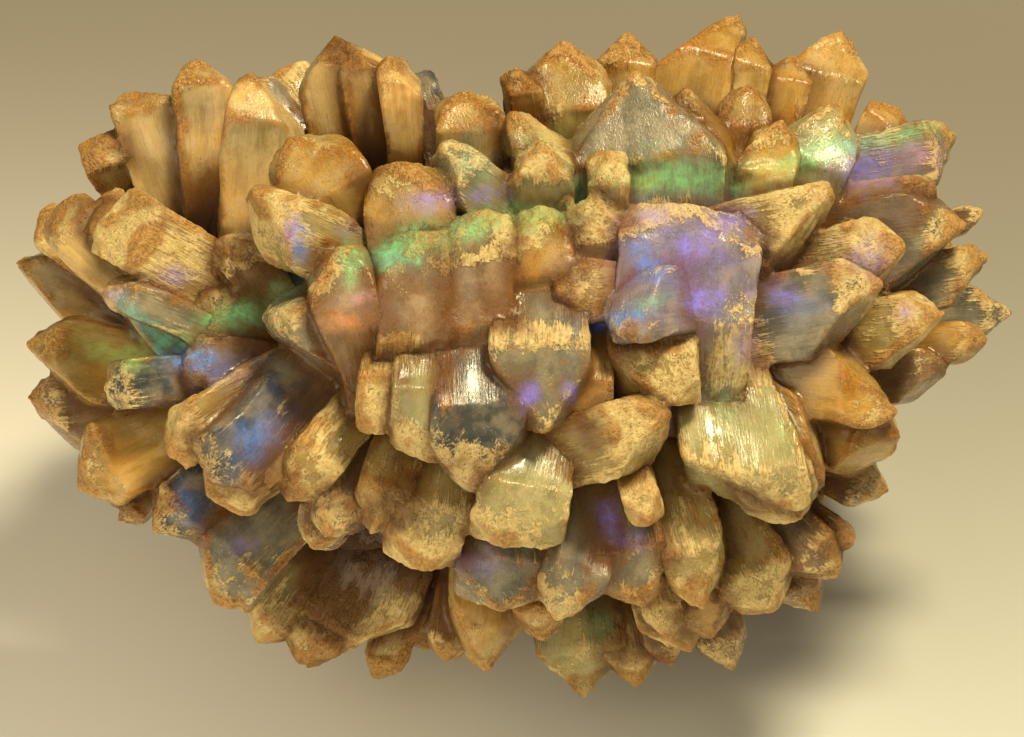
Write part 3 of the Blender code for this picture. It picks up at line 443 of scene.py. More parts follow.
def drawn_outline(direction: float, drawn: list[Vector]) -> float:
    """How far a hidden blade may reach so that it stays behind the drawn ones.

    Args:
        direction: on the show plane, in radians.
        drawn: tips of the drawn blades, in mm from the middle.

    Returns:
        The distance from the middle in mm.
    """
    furthest = 0.0
    for tip in drawn:
        far, angle = on_show_plane(tip)
        off = abs(math.remainder(angle - direction, math.tau))
        if off < math.radians(OUTLINE_SPAN):
            furthest = max(furthest, far)
    return furthest - OUTLINE_MARGIN


def only(thing: bpy.types.Object) -> None:
    """Leaves one object selected and active.

    Args:
        thing: the object.
    """
    for other in bpy.context.selected_objects:
        other.select_set(False)
    thing.select_set(True)
    bpy.context.view_layer.objects.active = thing


def apply_modifier(thing: bpy.types.Object, kind: str, **settings: object) -> None:
    """Adds a modifier to an object and applies it.

    Args:
        thing: the object.
        kind: the modifier's type.
        settings: its values by name.
    """
    only(thing)
    step = thing.modifiers.new(kind.lower(), kind)
    for name, value in settings.items():
        setattr(step, name, value)
    bpy.ops.object.modifier_apply(modifier=step.name)


def oval_distance(across: np.ndarray, rise: np.ndarray, middle: Pair,
                  half: Pair, turn: float) -> np.ndarray:
    """How far points lie from the middle of an oval on the show plane, squared, 1 at its border.

    Args:
        across: the points' places across, in mm.
        rise: the points' places up the show plane, in mm.
        middle: the oval's middle.
        half: its half sizes.
        turn: its turn in degrees.

    Returns:
        One value for each point.
    """
    angle = math.radians(turn)
    off_x, off_y = across - middle[0], rise - middle[1]
    along = (off_x * math.cos(angle) + off_y * math.sin(angle)) / half[0]
    over = (off_y * math.cos(angle) - off_x * math.sin(angle)) / half[1]
    return along * along + over * over


def places_of(mesh: bpy.types.Mesh) -> np.ndarray:
    """Reads where a mesh's vertices are.

    Args:
        mesh: the mesh.

    Returns:
        One row for each vertex, in mm.
    """
    flat = np.empty(len(mesh.vertices) * 3, dtype=np.float64)
    mesh.vertices.foreach_get("co", flat)
    return flat.reshape(-1, 3) / MM


def normals_of(mesh: bpy.types.Mesh) -> np.ndarray:
    """Reads which way a mesh's vertices face.

    Args:
        mesh: the mesh.

    Returns:
        One unit vector for each vertex.
    """
    flat = np.empty(len(mesh.vertices) * 3, dtype=np.float32)
    mesh.vertex_normals.foreach_get("vector", flat)
    return flat.reshape(-1, 3).astype(np.float64)


def move_vertices(mesh: bpy.types.Mesh, places: np.ndarray) -> None:
    """Moves a mesh's vertices to places given in metres."""
    mesh.vertices.foreach_set("co", places.astype(np.float32).ravel())
    mesh.update()


def store(mesh: bpy.types.Mesh, name: str, values: np.ndarray) -> None:
    """Keeps one vector or colour for each vertex under a name.

    Args:
        mesh: the mesh.
        name: the attribute's name.
        values: one row for each vertex, of three numbers for a vector and four for a colour.
    """
    kind, key = ("FLOAT_VECTOR", "vector") if values.shape[1] == 3 else ("FLOAT_COLOR", "color")
    attribute = mesh.attributes.new(name, kind, "POINT")
    attribute.data.foreach_set(key, values.astype(np.float32).ravel())


def on_show_axes(points: np.ndarray) -> tuple[np.ndarray, np.ndarray, np.ndarray]:
    """Across, rise and out of each point, in mm."""
    return points @ np.array(ACROSS), points @ np.array(RISE), points @ np.array(OUT)


class Noise:
    """Smooth seeded noise on points, between -1 and 1."""

    size_step: float = 2.03
    height_step: float = 0.5

    def __init__(self, seed: int) -> None:
        """Keeps the seed that tells this noise from others."""
        self.seed = seed

    def _corner(self, x: np.ndarray, y: np.ndarray, z: np.ndarray) -> np.ndarray:
        """Draws a value for each whole-numbered corner.

        Args:
            x: the corners' first numbers.
            y: their second numbers.
            z: their third numbers.

        Returns:
            Values from 0 to 1.
        """
        mixed = (x * 374761393 + y * 668265263 + z * 2147483647 + self.seed * 144665) & 0xFFFFFFFF
        mixed = ((mixed ^ (mixed >> 13)) * 1274126177) & 0xFFFFFFFF
        mixed = ((mixed ^ (mixed >> 16)) * 2246822519) & 0xFFFFFFFF
        return ((mixed ^ (mixed >> 15)) & 0xFFFFFF) / float(0xFFFFFF)

    def value(self, points: np.ndarray) -> np.ndarray:
        """Noise with features one unit wide.

        Args:
            points: one row of three numbers each.

        Returns:
            A value for each row.
        """
        low = np.floor(points).astype(np.int64)
        part = points - low
        part = part * part * (3.0 - 2.0 * part)
        total = np.zeros(len(points))
        for dx in (0, 1):
            wx = part[:, 0] if dx else 1.0 - part[:, 0]
            for dy in (0, 1):
                wy = part[:, 1] if dy else 1.0 - part[:, 1]
                for dz in (0, 1):
                    wz = part[:, 2] if dz else 1.0 - part[:, 2]
                    total += wx * wy * wz * self._corner(low[:, 0] + dx, low[:, 1] + dy, low[:, 2] + dz)
        return total * 2.0 - 1.0

    def layers(self, points: np.ndarray, octaves: int) -> np.ndarray:
        """Noise with finer noise laid over it, each layer half as wide and half as high.

        Args:
            points: one row of three numbers each.
            octaves: how many layers.

        Returns:
            A value for each row.
        """
        total = np.zeros(len(points))
        size, height = 1.0, 1.0
        for _ in range(octaves):
            total += height * self.value(points * size)
            size *= self.size_step
            height *= self.height_step
        return total


def ramp(values: np.ndarray, low: float, high: float) -> np.ndarray:
    """Rises smoothly from 0 at low to 1 at high."""
    part = np.clip((values - low) / (high - low), 0.0, 1.0)
    return part * part * (3.0 - 2.0 * part)


@dataclass
class Form:
    """A blade in its place: a slab with a four-sided end, as planes and as a mesh."""

    blade: Blade
    tip: Vector
    root: Vector
    facing: Vector
    edge_round: float = 0.35
    corner_round: float = 1.5
    round_steps: int = 3
    corner_depth: float = 0.8
    across_share: float = 0.8
    turn: Matrix = field(init=False)
    length: float = field(init=False)
    peak: Vector = field(init=False)

    def __post_init__(self) -> None:
        """Works out the blade's own directions: x over its width, -y its front, z along it."""
        axis = (self.tip - self.root).normalized()
        side = axis.cross(self.facing).normalized()
        side = Matrix.Rotation(math.radians(self.blade.roll), 3, axis) @ side
        self.turn = Matrix((side, axis.cross(side), axis)).transposed()
        self.length = (self.tip - self.root).length
        left, right = self.blade.shoulders
        front, back = self.blade.slopes
        self.peak = Vector((self.blade.width / 2.0 * (left - right) / (left + right),
                            self.blade.thick / 2.0 * (front - back) / (front + back), 0.0))

    def end_slopes(self) -> list[Vector]:
        """Works out the four faces of the end.

        Returns:
            Their normals: left, right, front, back.
        """
        left, right = self.blade.shoulders
        front, back = self.blade.slopes
        half_width, half_thick = self.blade.width / 2.0, self.blade.thick / 2.0
        return [Vector((-left, 0.0, self.peak.x + half_width)),
                Vector((right, 0.0, half_width - self.peak.x)),
                Vector((0.0, -front, self.peak.y + half_thick)),
                Vector((0.0, back, half_thick - self.peak.y))]

    def planes(self) -> tuple[np.ndarray, np.ndarray]:
        """The blade's planes in its own directions.

        Returns:
            Unit normals, the four end faces first, and each plane's distance from the tip.
        """
        width, thick = self.blade.width / 2.0, self.blade.thick / 2.0
        narrow = width * (1.0 - self.blade.flare)
        thin = thick * (1.0 - (1.0 + self.blade.flare) / 2.0)
        normals, through = [], []
        for slope in self.end_slopes():
            normals.append(slope)
            through.append(self.peak)
        for sign in (-1.0, 1.0):
            normals.append(Vector((sign * self.length, 0.0, -narrow)))
            through.append(Vector((sign * width, 0.0, 0.0)))
            normals.append(Vector((0.0, sign * self.length, -thin)))
            through.append(Vector((0.0, sign * thick, 0.0)))
        normals.append(Vector((0.0, 0.0, -1.0)))
        through.append(Vector((0.0, 0.0, -self.length)))
        units = [normal.normalized() for normal in normals]
        shift = Vector((0.0, self.peak.y, 0.0))
        distances = [unit.dot(point - shift) for unit, point in zip(units, through)]
        return np.array([tuple(unit) for unit in units]), np.array(distances)

    def model(self, name: str) -> bpy.types.Object:
        """Models the blade from a block that is tapered, cut to its end faces and bevelled.

        Args:
            name: the object's name.

        Returns:
            The blade, in metres from the middle of the ball.
        """
        width, thick, length = self.blade.width * MM, self.blade.thick * MM, self.length * MM
        bpy.ops.mesh.primitive_cube_add(size=1.0, enter_editmode=True)
        thing = bpy.context.object
        thing.name = name
        bpy.ops.transform.resize(value=(width, thick, length), center_override=(0.0, 0.0, 0.0))
        bpy.ops.transform.translate(value=(0.0, 0.0, -length / 2.0))
        bpy.ops.mesh.select_all(action="DESELECT")
        bpy.ops.object.mode_set(mode="OBJECT")
        for vertex in thing.data.vertices:
            vertex.select = vertex.co.z < -length / 2.0
        bpy.ops.object.mode_set(mode="EDIT")
        flare = self.blade.flare
        bpy.ops.transform.resize(value=(flare, (1.0 + flare) / 2.0, 1.0),
                                 center_override=(0.0, 0.0, -length))
        for slope in self.end_slopes():
            bpy.ops.mesh.select_all(action="SELECT")
            bpy.ops.mesh.bisect(plane_co=self.peak * MM, plane_no=slope.normalized(), use_fill=True,
                                clear_outer=True, threshold=1e-7)
        self._select_corners(thing)
        bpy.ops.mesh.bevel(offset=self.corner_round * MM, segments=self.round_steps, affect="EDGES",
                           clamp_overlap=True)
        bpy.ops.mesh.select_all(action="SELECT")
        bpy.ops.mesh.bevel(offset=self.edge_round * MM, segments=self.round_steps, affect="EDGES",
                           clamp_overlap=True)
        bpy.ops.object.mode_set(mode="OBJECT")
        for vertex in thing.data.vertices:
            vertex.co = (min(max(vertex.co.x, -width / 2.0), width / 2.0),
                         min(max(vertex.co.y, -thick / 2.0), thick / 2.0) - self.peak.y * MM,
                         min(max(vertex.co.z, -length), 0.0))
        thing.matrix_world = Matrix.Translation(self.tip * MM) @ self.turn.to_4x4()
        bpy.ops.object.transform_apply(location=True, rotation=True, scale=True)
        return thing

    def _select_corners(self, thing: bpy.types.Object) -> None:
        """Selects the corners of the blade's end that show as its outline from the front.

        Args:
            thing: the blade, in edit mode.
        """
        bpy.ops.mesh.select_mode(type="EDGE")
        bpy.ops.mesh.select_all(action="DESELECT")
        bpy.ops.object.mode_set(mode="OBJECT")
        lowest = -self.corner_depth * self.length * MM
        for edge in thing.data.edges:
            first, second = (thing.data.vertices[number].co for number in edge.vertices)
            run = second - first
            across = abs(run.y) > self.across_share * run.length
            edge.select = across and min(first.z, second.z) > lowest
        bpy.ops.object.mode_set(mode="EDIT")

    def corners(self) -> np.ndarray:
        """Works out how far the blade reaches.

        Returns:
            Its peak and the ends of its edges, in mm from the middle.
        """
        width, thick = self.blade.width / 2.0, self.blade.thick / 2.0
        found = [self.peak]
        slopes = self.end_slopes()
        for sign_x in (-1.0, 1.0):
            for sign_y in (-1.0, 1.0):
                drops = []
                for slope in slopes:
                    flat = Vector((sign_x * width, sign_y * thick, 0.0)) - self.peak
                    drops.append(-(slope.x * flat.x + slope.y * flat.y) / slope.z)
                found.append(Vector((sign_x * width, sign_y * thick, min(drops))))
        shift = Vector((0.0, self.peak.y, 0.0))
        return np.array([tuple(self.turn @ (point - shift) + self.tip) for point in found])


# Distances from blades, in mm: where a point has no blade yet, what counts as far, and how near one is read
NOWHERE = 99.0
FAR_OFF = 9.0
NEAR_BY = 4.0


@dataclass
class Reading:
    """What the blades say about each point of a skin."""

    own: np.ndarray
    local: np.ndarray
    edge: np.ndarray
    gap: np.ndarray

    @classmethod
    def take(cls, points: np.ndarray, forms: list[Form], owners: int) -> "Reading":
        """Finds the blade each point lies on, and how near its edges and the other blades are.

        Args:
            points: places in mm from the middle of the ball.
            forms: all the blades, the skin's own first.
            owners: how many of them are the skin's own.

        Returns:
            The reading of all points.
        """
        count = len(points)
        best = np.full(count, NOWHERE)
        own = np.zeros(count, dtype=np.int64)
        local = np.zeros((count, 3))
        edge = np.full(count, FAR_OFF)
        gap = np.full(count, FAR_OFF)
        for number, form in enumerate(forms):
            normals, distances = form.planes()
            middle = np.array((form.tip + form.root) / 2.0)
            span = form.length / 2.0 + math.hypot(form.blade.width, form.blade.thick) / 2.0 + NEAR_BY
            near = np.nonzero(((points - middle) ** 2).sum(axis=1) < span * span)[0]
            if not len(near):
                continue
            placed = (points[near] - np.array(form.tip)) @ np.array(form.turn)
            over = placed @ normals.T - distances
            over.sort(axis=1)
            depth = over[:, -1]
            if number >= owners:
                gap[near] = np.minimum(gap[near], depth)
                continue
            won = depth < best[near]
            lost = near[~won]
            gap[lost] = np.minimum(gap[lost], depth[~won])
            taken = near[won]
            gap[taken] = np.minimum(gap[taken], best[taken])
            best[taken] = depth[won]
            own[taken] = number
            local[taken] = placed[won]
            edge[taken] = -over[won, -2]
        local[:, 2] *= -1.0
        return cls(own, local, np.maximum(edge, 0.0), gap)


class Layer(IntEnum):
    """What each seeded noise of a skin is for, as a step from the skin's seed."""

    CRUST_CLOUDS = 1
    CRUST_STREAKS = 2
    RIBS = 3
    WAVES = 4
    LUMPS = 5
    CHIPS = 6
    BODY_CLOUDS = 7
    BODY_BANDS = 8
    SPOTS = 9
    RIPPLE = 10
    HIDDEN_PLAY = 11
    RUST = 12
    WARP = 90


@dataclass(frozen=True)
class WearAndShade:
    """How the skins are worn and coloured, and how painted shade darkens the gaps between blades and the
    deep parts toward the core.

    Sizes, heights and the ends of rims, tips and gaps are in mm. The other pairs are where an effect
    sets in and where it is full.
    """

    warp_size: float = 9.0
    warp_height: float = 0.6
    rib_size: Triple = (1.0, 1.0, 15.0)
    rib_height: float = 0.09
    rib_shares: Pair = (0.45, 0.75)
    wave_size: float = 5.0
    wave_height: float = 0.24
    lump_size: float = 0.75
    chip_size: float = 2.4
    chip_start: float = 0.1
    chip_depth: float = 0.35
    chip_rim: Pair = (0.2, 1.6)
    covered: Pair = (-0.8, 0.5)
    crust_base: float = 0.05
    crust_height: float = 0.13
    crust_rim: Pair = (0.1, 1.3)
    crust_tip: Pair = (0.4, 5.0)
    crust_cloud: float = 4.2
    crust_streak: Triple = (0.55, 0.55, 4.0)
    crust_shares: tuple[float, float, float, float, float] = (0.3, 0.5, 0.36, 0.3, 0.9)
    crust_range: Pair = (-0.05, 0.8)
    band_ripple: float = 0.4
    body_cloud: float = 6.5
    body_band: Triple = (1.6, 1.6, 12.0)
    cloud_tone: float = 0.22
    band_tone: float = 0.2
    warmth: float = 0.12
    warm_channels: Triple = (1.0, 0.2, -0.9)
    stain_rim: Pair = (0.0, 1.3)
    stain_tip: Pair = (0.0, 3.0)
    spot_size: float = 2.6
    stain_shares: tuple[float, float, float, float] = (0.8, 0.75, 0.45, 0.5)
    stain_range: Pair = (0.08, 0.8)
    # gap_range, gap_shares and deep_range place the painted shade in the gaps between blades and toward the
    # core
    gap_range: Pair = (0.0, 2.4)
    gap_shares: Pair = (0.42, 0.58)
    deep_range: Pair = (0.12, 0.9)
    depth_end: float = 0.9
    window_range: Pair = (0.6, 2.2)
    rust_speck: float = 0.55
    rust_range: Pair = (0.15, 0.6)
    rust_strength: float = 1.4
    play_facing: Pair = (0.05, 0.45)
    play_ripple: float = 1.3
    play_falloff: float = 1.1
    play_end: float = 9.0
    ripple_share: float = 0.6
    ripple_range: Pair = (0.3, 2.5)
    hidden_facing: Pair = (-0.1, 0.3)
    hidden_patch: float = 4.0
    hidden_range: Pair = (0.25, 0.75)
    hidden_every: int = 3
    hidden_strength: float = 0.8


@dataclass
class Skin:
    """One closed skin of fused, weathered blades."""

    name: str
    forms: list[Form]
    others: list[Form]
    voxel: float
    seed: int
    wear_and_shade: WearAndShade = WearAndShade()
    most_triangles: int = 190000
    least_volume: float = 20.0
    smoothing: float = 0.5
    smooth_rounds: int = 2
    grain_step: Triple = (7.31, 3.77, 5.19)
    seed_step: float = 11.0

    def build(self, place: Vector, limits: tuple[Vector, Vector]) -> bpy.types.Object:
        """Models the skin.

        Args:
            place: where the middle of the ball is, in metres.
            limits: lowest and highest corner that the skin may reach, in metres.

        Returns:
            The finished mesh, with the attributes that its finish reads.
        """
        thing = self._fused()
        self._drop_inner_shells(thing)
        self._weather(thing)
        count = sum(len(face.vertices) - 2 for face in thing.data.polygons)
        if count > self.most_triangles:
            apply_modifier(thing, "DECIMATE", ratio=self.most_triangles / count)
        self._paint(thing)
        self._put(thing, place, limits)
        return thing

    def _fused(self) -> bpy.types.Object:
        """Models the blades and fuses them.

        Returns:
            The skin, in metres from the middle of the ball.
        """
        parts = [form.model(f"{self.name}_{number:03d}") for number, form in enumerate(self.forms)]
        only(parts[0])
        for part in parts[1:]:
            part.select_set(True)
        bpy.ops.object.join()
        thing = bpy.context.object
        thing.name = self.name
        thing.data.name = self.name
        apply_modifier(thing, "REMESH", mode="VOXEL", voxel_size=self.voxel * MM, adaptivity=0.0)
        apply_modifier(thing, "SMOOTH", factor=self.smoothing, iterations=self.smooth_rounds)
        return thing

    def _drop_inner_shells(self, thing: bpy.types.Object) -> None:
        """Takes the sealed pockets between the roots, and crumbs, out of the skin.

        Args:
            thing: the skin, which is changed.
        """
        mesh = thing.data
        edges = np.empty(len(mesh.edges) * 2, dtype=np.int32)
        mesh.edges.foreach_get("vertices", edges)
        ends = edges.reshape(-1, 2)
        label = np.arange(len(mesh.vertices))
        while True:
            lower = np.minimum(label[ends[:, 0]], label[ends[:, 1]])
            before = label.copy()
            np.minimum.at(label, ends[:, 0], lower)
            np.minimum.at(label, ends[:, 1], lower)
            label = label[label]
            if np.array_equal(before, label):
                break
        points = places_of(mesh)
        corners = np.empty(len(mesh.polygons) * 4, dtype=np.int32)
        mesh.polygons.foreach_get("vertices", corners)
        first, second, third, fourth = points[corners.reshape(-1, 4).T]
        cones = np.einsum("ij,ij->i", first, np.cross(second, third) + np.cross(third, fourth))
        volumes = np.bincount(label[corners[::4]], weights=cones / 6.0, minlength=len(points))
        inner = volumes[label] < self.least_volume
        if not inner.any():
            return
        only(thing)
        bpy.ops.object.mode_set(mode="EDIT")
        bpy.ops.mesh.select_all(action="DESELECT")
        bpy.ops.object.mode_set(mode="OBJECT")
        mesh.vertices.foreach_set("select", inner)
        bpy.ops.object.mode_set(mode="EDIT")
        bpy.ops.mesh.select_mode(type="VERT")
        bpy.ops.mesh.delete(type="VERT")
        bpy.ops.object.mode_set(mode="OBJECT")

    def _offsets(self, reading: Reading) -> np.ndarray:
        """Shifts the places along their blades, so that no two blades have the same grain."""
        steps = reading.own[:, None] * np.array([self.grain_step]) + self.seed * self.seed_step
        return reading.local + steps

    def _noise(self, layer: Layer) -> Noise:
        """The skin's own noise for one purpose."""
        return Noise(self.seed + layer)

    def _crust(self, points: np.ndarray, reading: Reading) -> np.ndarray:
        """Works out where sandy crust lies: on rims, tips and streaks, and along the bands.

        Args:
            points: places in mm from the middle of the ball.
            reading: what the blades say about them.

        Returns:
            An amount from 0 to 1 for each point.
        """
        wear_and_shade = self.wear_and_shade
        amounts = np.array([form.blade.look.crust for form in self.forms])[reading.own]
        rim = 1.0 - ramp(reading.edge, *wear_and_shade.crust_rim)
        tip = 1.0 - ramp(reading.local[:, 2], *wear_and_shade.crust_tip)
        clouds = self._noise(Layer.CRUST_CLOUDS).layers(points / wear_and_shade.crust_cloud, 3)
        grain = self._offsets(reading)
        streaks = self._noise(Layer.CRUST_STREAKS).layers(grain / np.array(wear_and_shade.crust_streak), 2)
        on_rim, on_tip, in_clouds, in_streaks, by_look = wear_and_shade.crust_shares
        total = on_rim * rim + on_tip * tip + in_clouds * clouds + in_streaks * streaks
        total += by_look * (amounts - 0.5)
        across, rise, out = on_show_axes(points)
        for middle, half, turn, strength in CRUST_BANDS:
            apart = oval_distance(across, rise, middle, half, turn)
            near = strength * np.exp(-apart * (1.0 + wear_and_shade.band_ripple * clouds))
            total += np.where(out > 0.0, near, 0.0)
        return ramp(total, *wear_and_shade.crust_range)

    def _weather(self, thing: bpy.types.Object) -> None:
        """Warps, ribs, chips and crusts the skin.

        Args:
            thing: the skin, which is changed.
        """
        mesh, wear_and_shade = thing.data, self.wear_and_shade
        points = places_of(mesh)
        warp = np.stack([Noise(self.seed + Layer.WARP + axis).layers(points / wear_and_shade.warp_size, 2)
                         for axis in range(3)], axis=1)
        reading = Reading.take(points, self.forms + self.others, len(self.forms))
        grain = self._offsets(reading)
        crust = self._crust(points, reading)
        ribs = self._noise(Layer.RIBS).layers(grain / np.array(wear_and_shade.rib_size), 2)
        waves = self._noise(Layer.WAVES).value(grain / wear_and_shade.wave_size)
        lumps = self._noise(Layer.LUMPS).layers(points / wear_and_shade.lump_size, 2)
        chips = self._noise(Layer.CHIPS).layers(points / wear_and_shade.chip_size, 2)
        chips = np.maximum(chips - wear_and_shade.chip_start, 0.0)
        edge = 1.0 - ramp(reading.edge, *wear_and_shade.chip_rim)
        bare, crusted = wear_and_shade.rib_shares
        rise = wear_and_shade.rib_height * ribs * (bare + crusted * crust)
        rise += wear_and_shade.wave_height * waves
        rise += crust * (wear_and_shade.crust_base + wear_and_shade.crust_height * lumps)
        rise -= wear_and_shade.chip_depth * edge * chips
        rise *= ramp(reading.gap, *wear_and_shade.covered)
        moved = points + normals_of(mesh) * rise[:, None] + warp * wear_and_shade.warp_height
        move_vertices(mesh, moved * MM)

    def _paint(self, thing: bpy.types.Object) -> None:
        """Stores on the skin what its finish reads: body colour, wear and painted shade, colour play and
        grain.

        Args:
            thing: the skin, which gets the attributes.
        """
        mesh, wear_and_shade = thing.data, self.wear_and_shade
        points = places_of(mesh)
        normals = normals_of(mesh)
        reading = Reading.take(points, self.forms + self.others, len(self.forms))
        stains = np.array([form.blade.look.stain for form in self.forms])[reading.own]
        grain = self._offsets(reading)
        crust = self._crust(points, reading)
        edge = 1.0 - ramp(reading.edge, *wear_and_shade.stain_rim)
        tip = 1.0 - ramp(reading.local[:, 2], *wear_and_shade.stain_tip)
        deep = self._depth(points)
        spots = self._noise(Layer.SPOTS).layers(points / wear_and_shade.spot_size, 3)
        on_rim, on_tip, in_deep, in_spots = wear_and_shade.stain_shares
        stain = stains * (on_rim * edge + on_tip * tip + in_deep * deep) + in_spots * spots
        stain = np.maximum(ramp(stain, *wear_and_shade.stain_range), self._rust(points))
        # Painted shade: darker in the gaps between blades and deep toward the core
        shallow, deeper = wear_and_shade.gap_shares
        crevice_shade = (1.0 - ramp(reading.gap, *wear_and_shade.gap_range)) * (shallow + deeper * deep)
        crevice_shade = np.maximum(crevice_shade, ramp(deep, *wear_and_shade.deep_range))
        window = (1.0 - crust) * ramp(reading.edge, *wear_and_shade.window_range)
        store(mesh, "body", self._bodies(points, grain, reading))
        # Its channels are crust, stain, painted shade in the gaps, and clearness
        store(mesh, "wear_and_shade", np.column_stack([crust, stain, crevice_shade, window]))
        store(mesh, "fire", self._play(points, normals, reading))
        store(mesh, "grain", grain)

    def _bodies(self, points: np.ndarray, grain: np.ndarray, reading: Reading) -> np.ndarray:
        """Works out the body colour, which drifts within each blade.

        Args:
            points: places in mm from the middle of the ball.
            grain: the same places along their blades.
            reading: what the blades say about them.

        Returns:
            A colour with full alpha for each point.
        """
        wear_and_shade = self.wear_and_shade
        bodies = np.array([form.blade.look.body for form in self.forms])[reading.own]
        clouds = self._noise(Layer.BODY_CLOUDS).layers(points / wear_and_shade.body_cloud, 2)
        bands = self._noise(Layer.BODY_BANDS).layers(grain / np.array(wear_and_shade.body_band), 2)
        tone = 1.0 + wear_and_shade.cloud_tone * clouds + wear_and_shade.band_tone * bands
        warmth = 1.0 + wear_and_shade.warmth * clouds[:, None] * np.array([wear_and_shade.warm_channels])
        bodies = np.clip(bodies * tone[:, None] * warmth, 0.0, 1.0)
        return np.column_stack([bodies, np.ones(len(points))])

    def _depth(self, points: np.ndarray) -> np.ndarray:
        """Works out how deep the points lie between the blades.

        Args:
            points: places in mm from the middle of the ball.

        Returns:
            A value for each point, 0 at the tips and 1 at the core.
        """
        girth = np.hypot(points[:, 1], points[:, 2])
        share = (np.abs(points[:, 0]) / HALF_WIDTH) ** SQUARENESS + (girth / HALF_GIRTH) ** SQUARENESS
        share = share ** (1.0 / SQUARENESS)
        return 1.0 - ramp(share, CORE_SHARE, self.wear_and_shade.depth_end)

    def _rust(self, points: np.ndarray) -> np.ndarray:
        """Works out how much rust the show side has in specks.

        Args:
            points: places in mm from the middle of the ball.

        Returns:
            An amount from 0 to 1 for each point.
        """
        across, rise, out = on_show_axes(points)
        specks = self._noise(Layer.RUST).layers(points / self.wear_and_shade.rust_speck, 2)
        specks = ramp(specks, *self.wear_and_shade.rust_range)
        total = np.zeros(len(points))
        for x, y, size in RUST_SPOTS:
            off = ((across - x) ** 2 + (rise - y) ** 2) / (size * size)
            total = np.maximum(total, np.exp(-off) * specks * (out > 0.0))
        return np.clip(total * self.wear_and_shade.rust_strength, 0.0, 1.0)

    def _play(self, points: np.ndarray, normals: np.ndarray, reading: Reading) -> np.ndarray:
        """Works out the colour play.

        Args:
            points: places in mm from the middle of the ball.
            normals: which way the skin faces there.
            reading: what the blades say about them.

        Returns:
            The play's colour, and its strength as alpha, for each point.
        """
        wear_and_shade = self.wear_and_shade
        across, rise, _ = on_show_axes(points)
        facing = ramp(normals @ np.array(OUT), *wear_and_shade.play_facing)
        ripple = self._noise(Layer.RIPPLE).layers(points / wear_and_shade.play_ripple, 2)
        fading = np.clip(1.0 + wear_and_shade.ripple_share * ripple, *wear_and_shade.ripple_range)
        colour = np.zeros((len(points), 3))
        total = np.zeros(len(points))
        for patch in PATCHES:
            apart = oval_distance(across, rise, patch.middle, patch.half, patch.turn)
            part = patch.strength * facing * np.exp(-wear_and_shade.play_falloff * apart * fading)
            part[apart > wear_and_shade.play_end] = 0.0
            colour += part[:, None] * np.array([patch.play.value])
            total += part
        hidden = self._hidden_play(points, reading)
        hidden = hidden * ramp(-(normals @ np.array(OUT)), *wear_and_shade.hidden_facing)
        hues = np.array([play.value for play in Play])[reading.own % len(Play)]
        colour += hidden[:, None] * hues
        total += hidden
        colour /= np.maximum(total, 1e-6)[:, None]
        return np.column_stack([colour, np.clip(total, 0.0, 1.0)])

    def _hidden_play(self, points: np.ndarray, reading: Reading) -> np.ndarray:
        """Works out the colour play of the back and the underside, in seeded patches on some blades.

        Args:
            points: places in mm from the middle of the ball.
            reading: what the blades say about them.

        Returns:
            A strength for each point.
        """
        wear_and_shade = self.wear_and_shade
        patches = self._noise(Layer.HIDDEN_PLAY).layers(points / wear_and_shade.hidden_patch, 2)
        chosen = reading.own % wear_and_shade.hidden_every == 0
        return ramp(patches, *wear_and_shade.hidden_range) * chosen * wear_and_shade.hidden_strength

    def _put(self, thing: bpy.types.Object, place: Vector, limits: tuple[Vector, Vector]) -> None:
        """Moves the finished skin to its place, worn flat where it would pass the limits.

        Args:
            thing: the skin, which is changed.
            place: where the middle of the ball is, in metres.
            limits: lowest and highest corner that it may reach, in metres.
        """
        points = places_of(thing.data) * MM + np.array(place)
        move_vertices(thing.data, np.clip(points, np.array(limits[0]), np.array(limits[1])))
        only(thing)
        bpy.ops.object.shade_smooth()


class Wire:
    """One output of a shader node, which takes part in sums as a number does."""

    def __init__(self, bench: "Bench", socket: bpy.types.NodeSocket) -> None:
        """Keeps the output and the bench that its node is on."""
        self.bench = bench
        self.socket = socket

    def _sum(self, operation: str, left: "Wire | float", right: "Wire | float") -> "Wire":
        """Adds a Math node on two values."""
        return self.bench.add("ShaderNodeMath", {"operation": operation}, {0: left, 1: right})

    def __add__(self, other: "Wire | float") -> "Wire":
        """This plus another."""
        return self._sum("ADD", self, other)

    def __radd__(self, other: "Wire | float") -> "Wire":
        """Another plus this."""
        return self._sum("ADD", other, self)

    def __sub__(self, other: "Wire | float") -> "Wire":
        """This less another."""
        return self._sum("SUBTRACT", self, other)

    def __rsub__(self, other: "Wire | float") -> "Wire":
        """Another less this."""
        return self._sum("SUBTRACT", other, self)

    def __mul__(self, other: "Wire | float") -> "Wire":
        """This times another."""
        return self._sum("MULTIPLY", self, other)

    def __rmul__(self, other: "Wire | float") -> "Wire":
        """Another times this."""
        return self._sum("MULTIPLY", other, self)

    def ramp(self, low: float, high: float) -> "Wire":
        """Rises smoothly from 0 at low to 1 at high."""
        return self.bench.add("ShaderNodeMapRange", {"interpolation_type": "SMOOTHSTEP"},
                              {"Value": self, "From Min": low, "From Max": high})


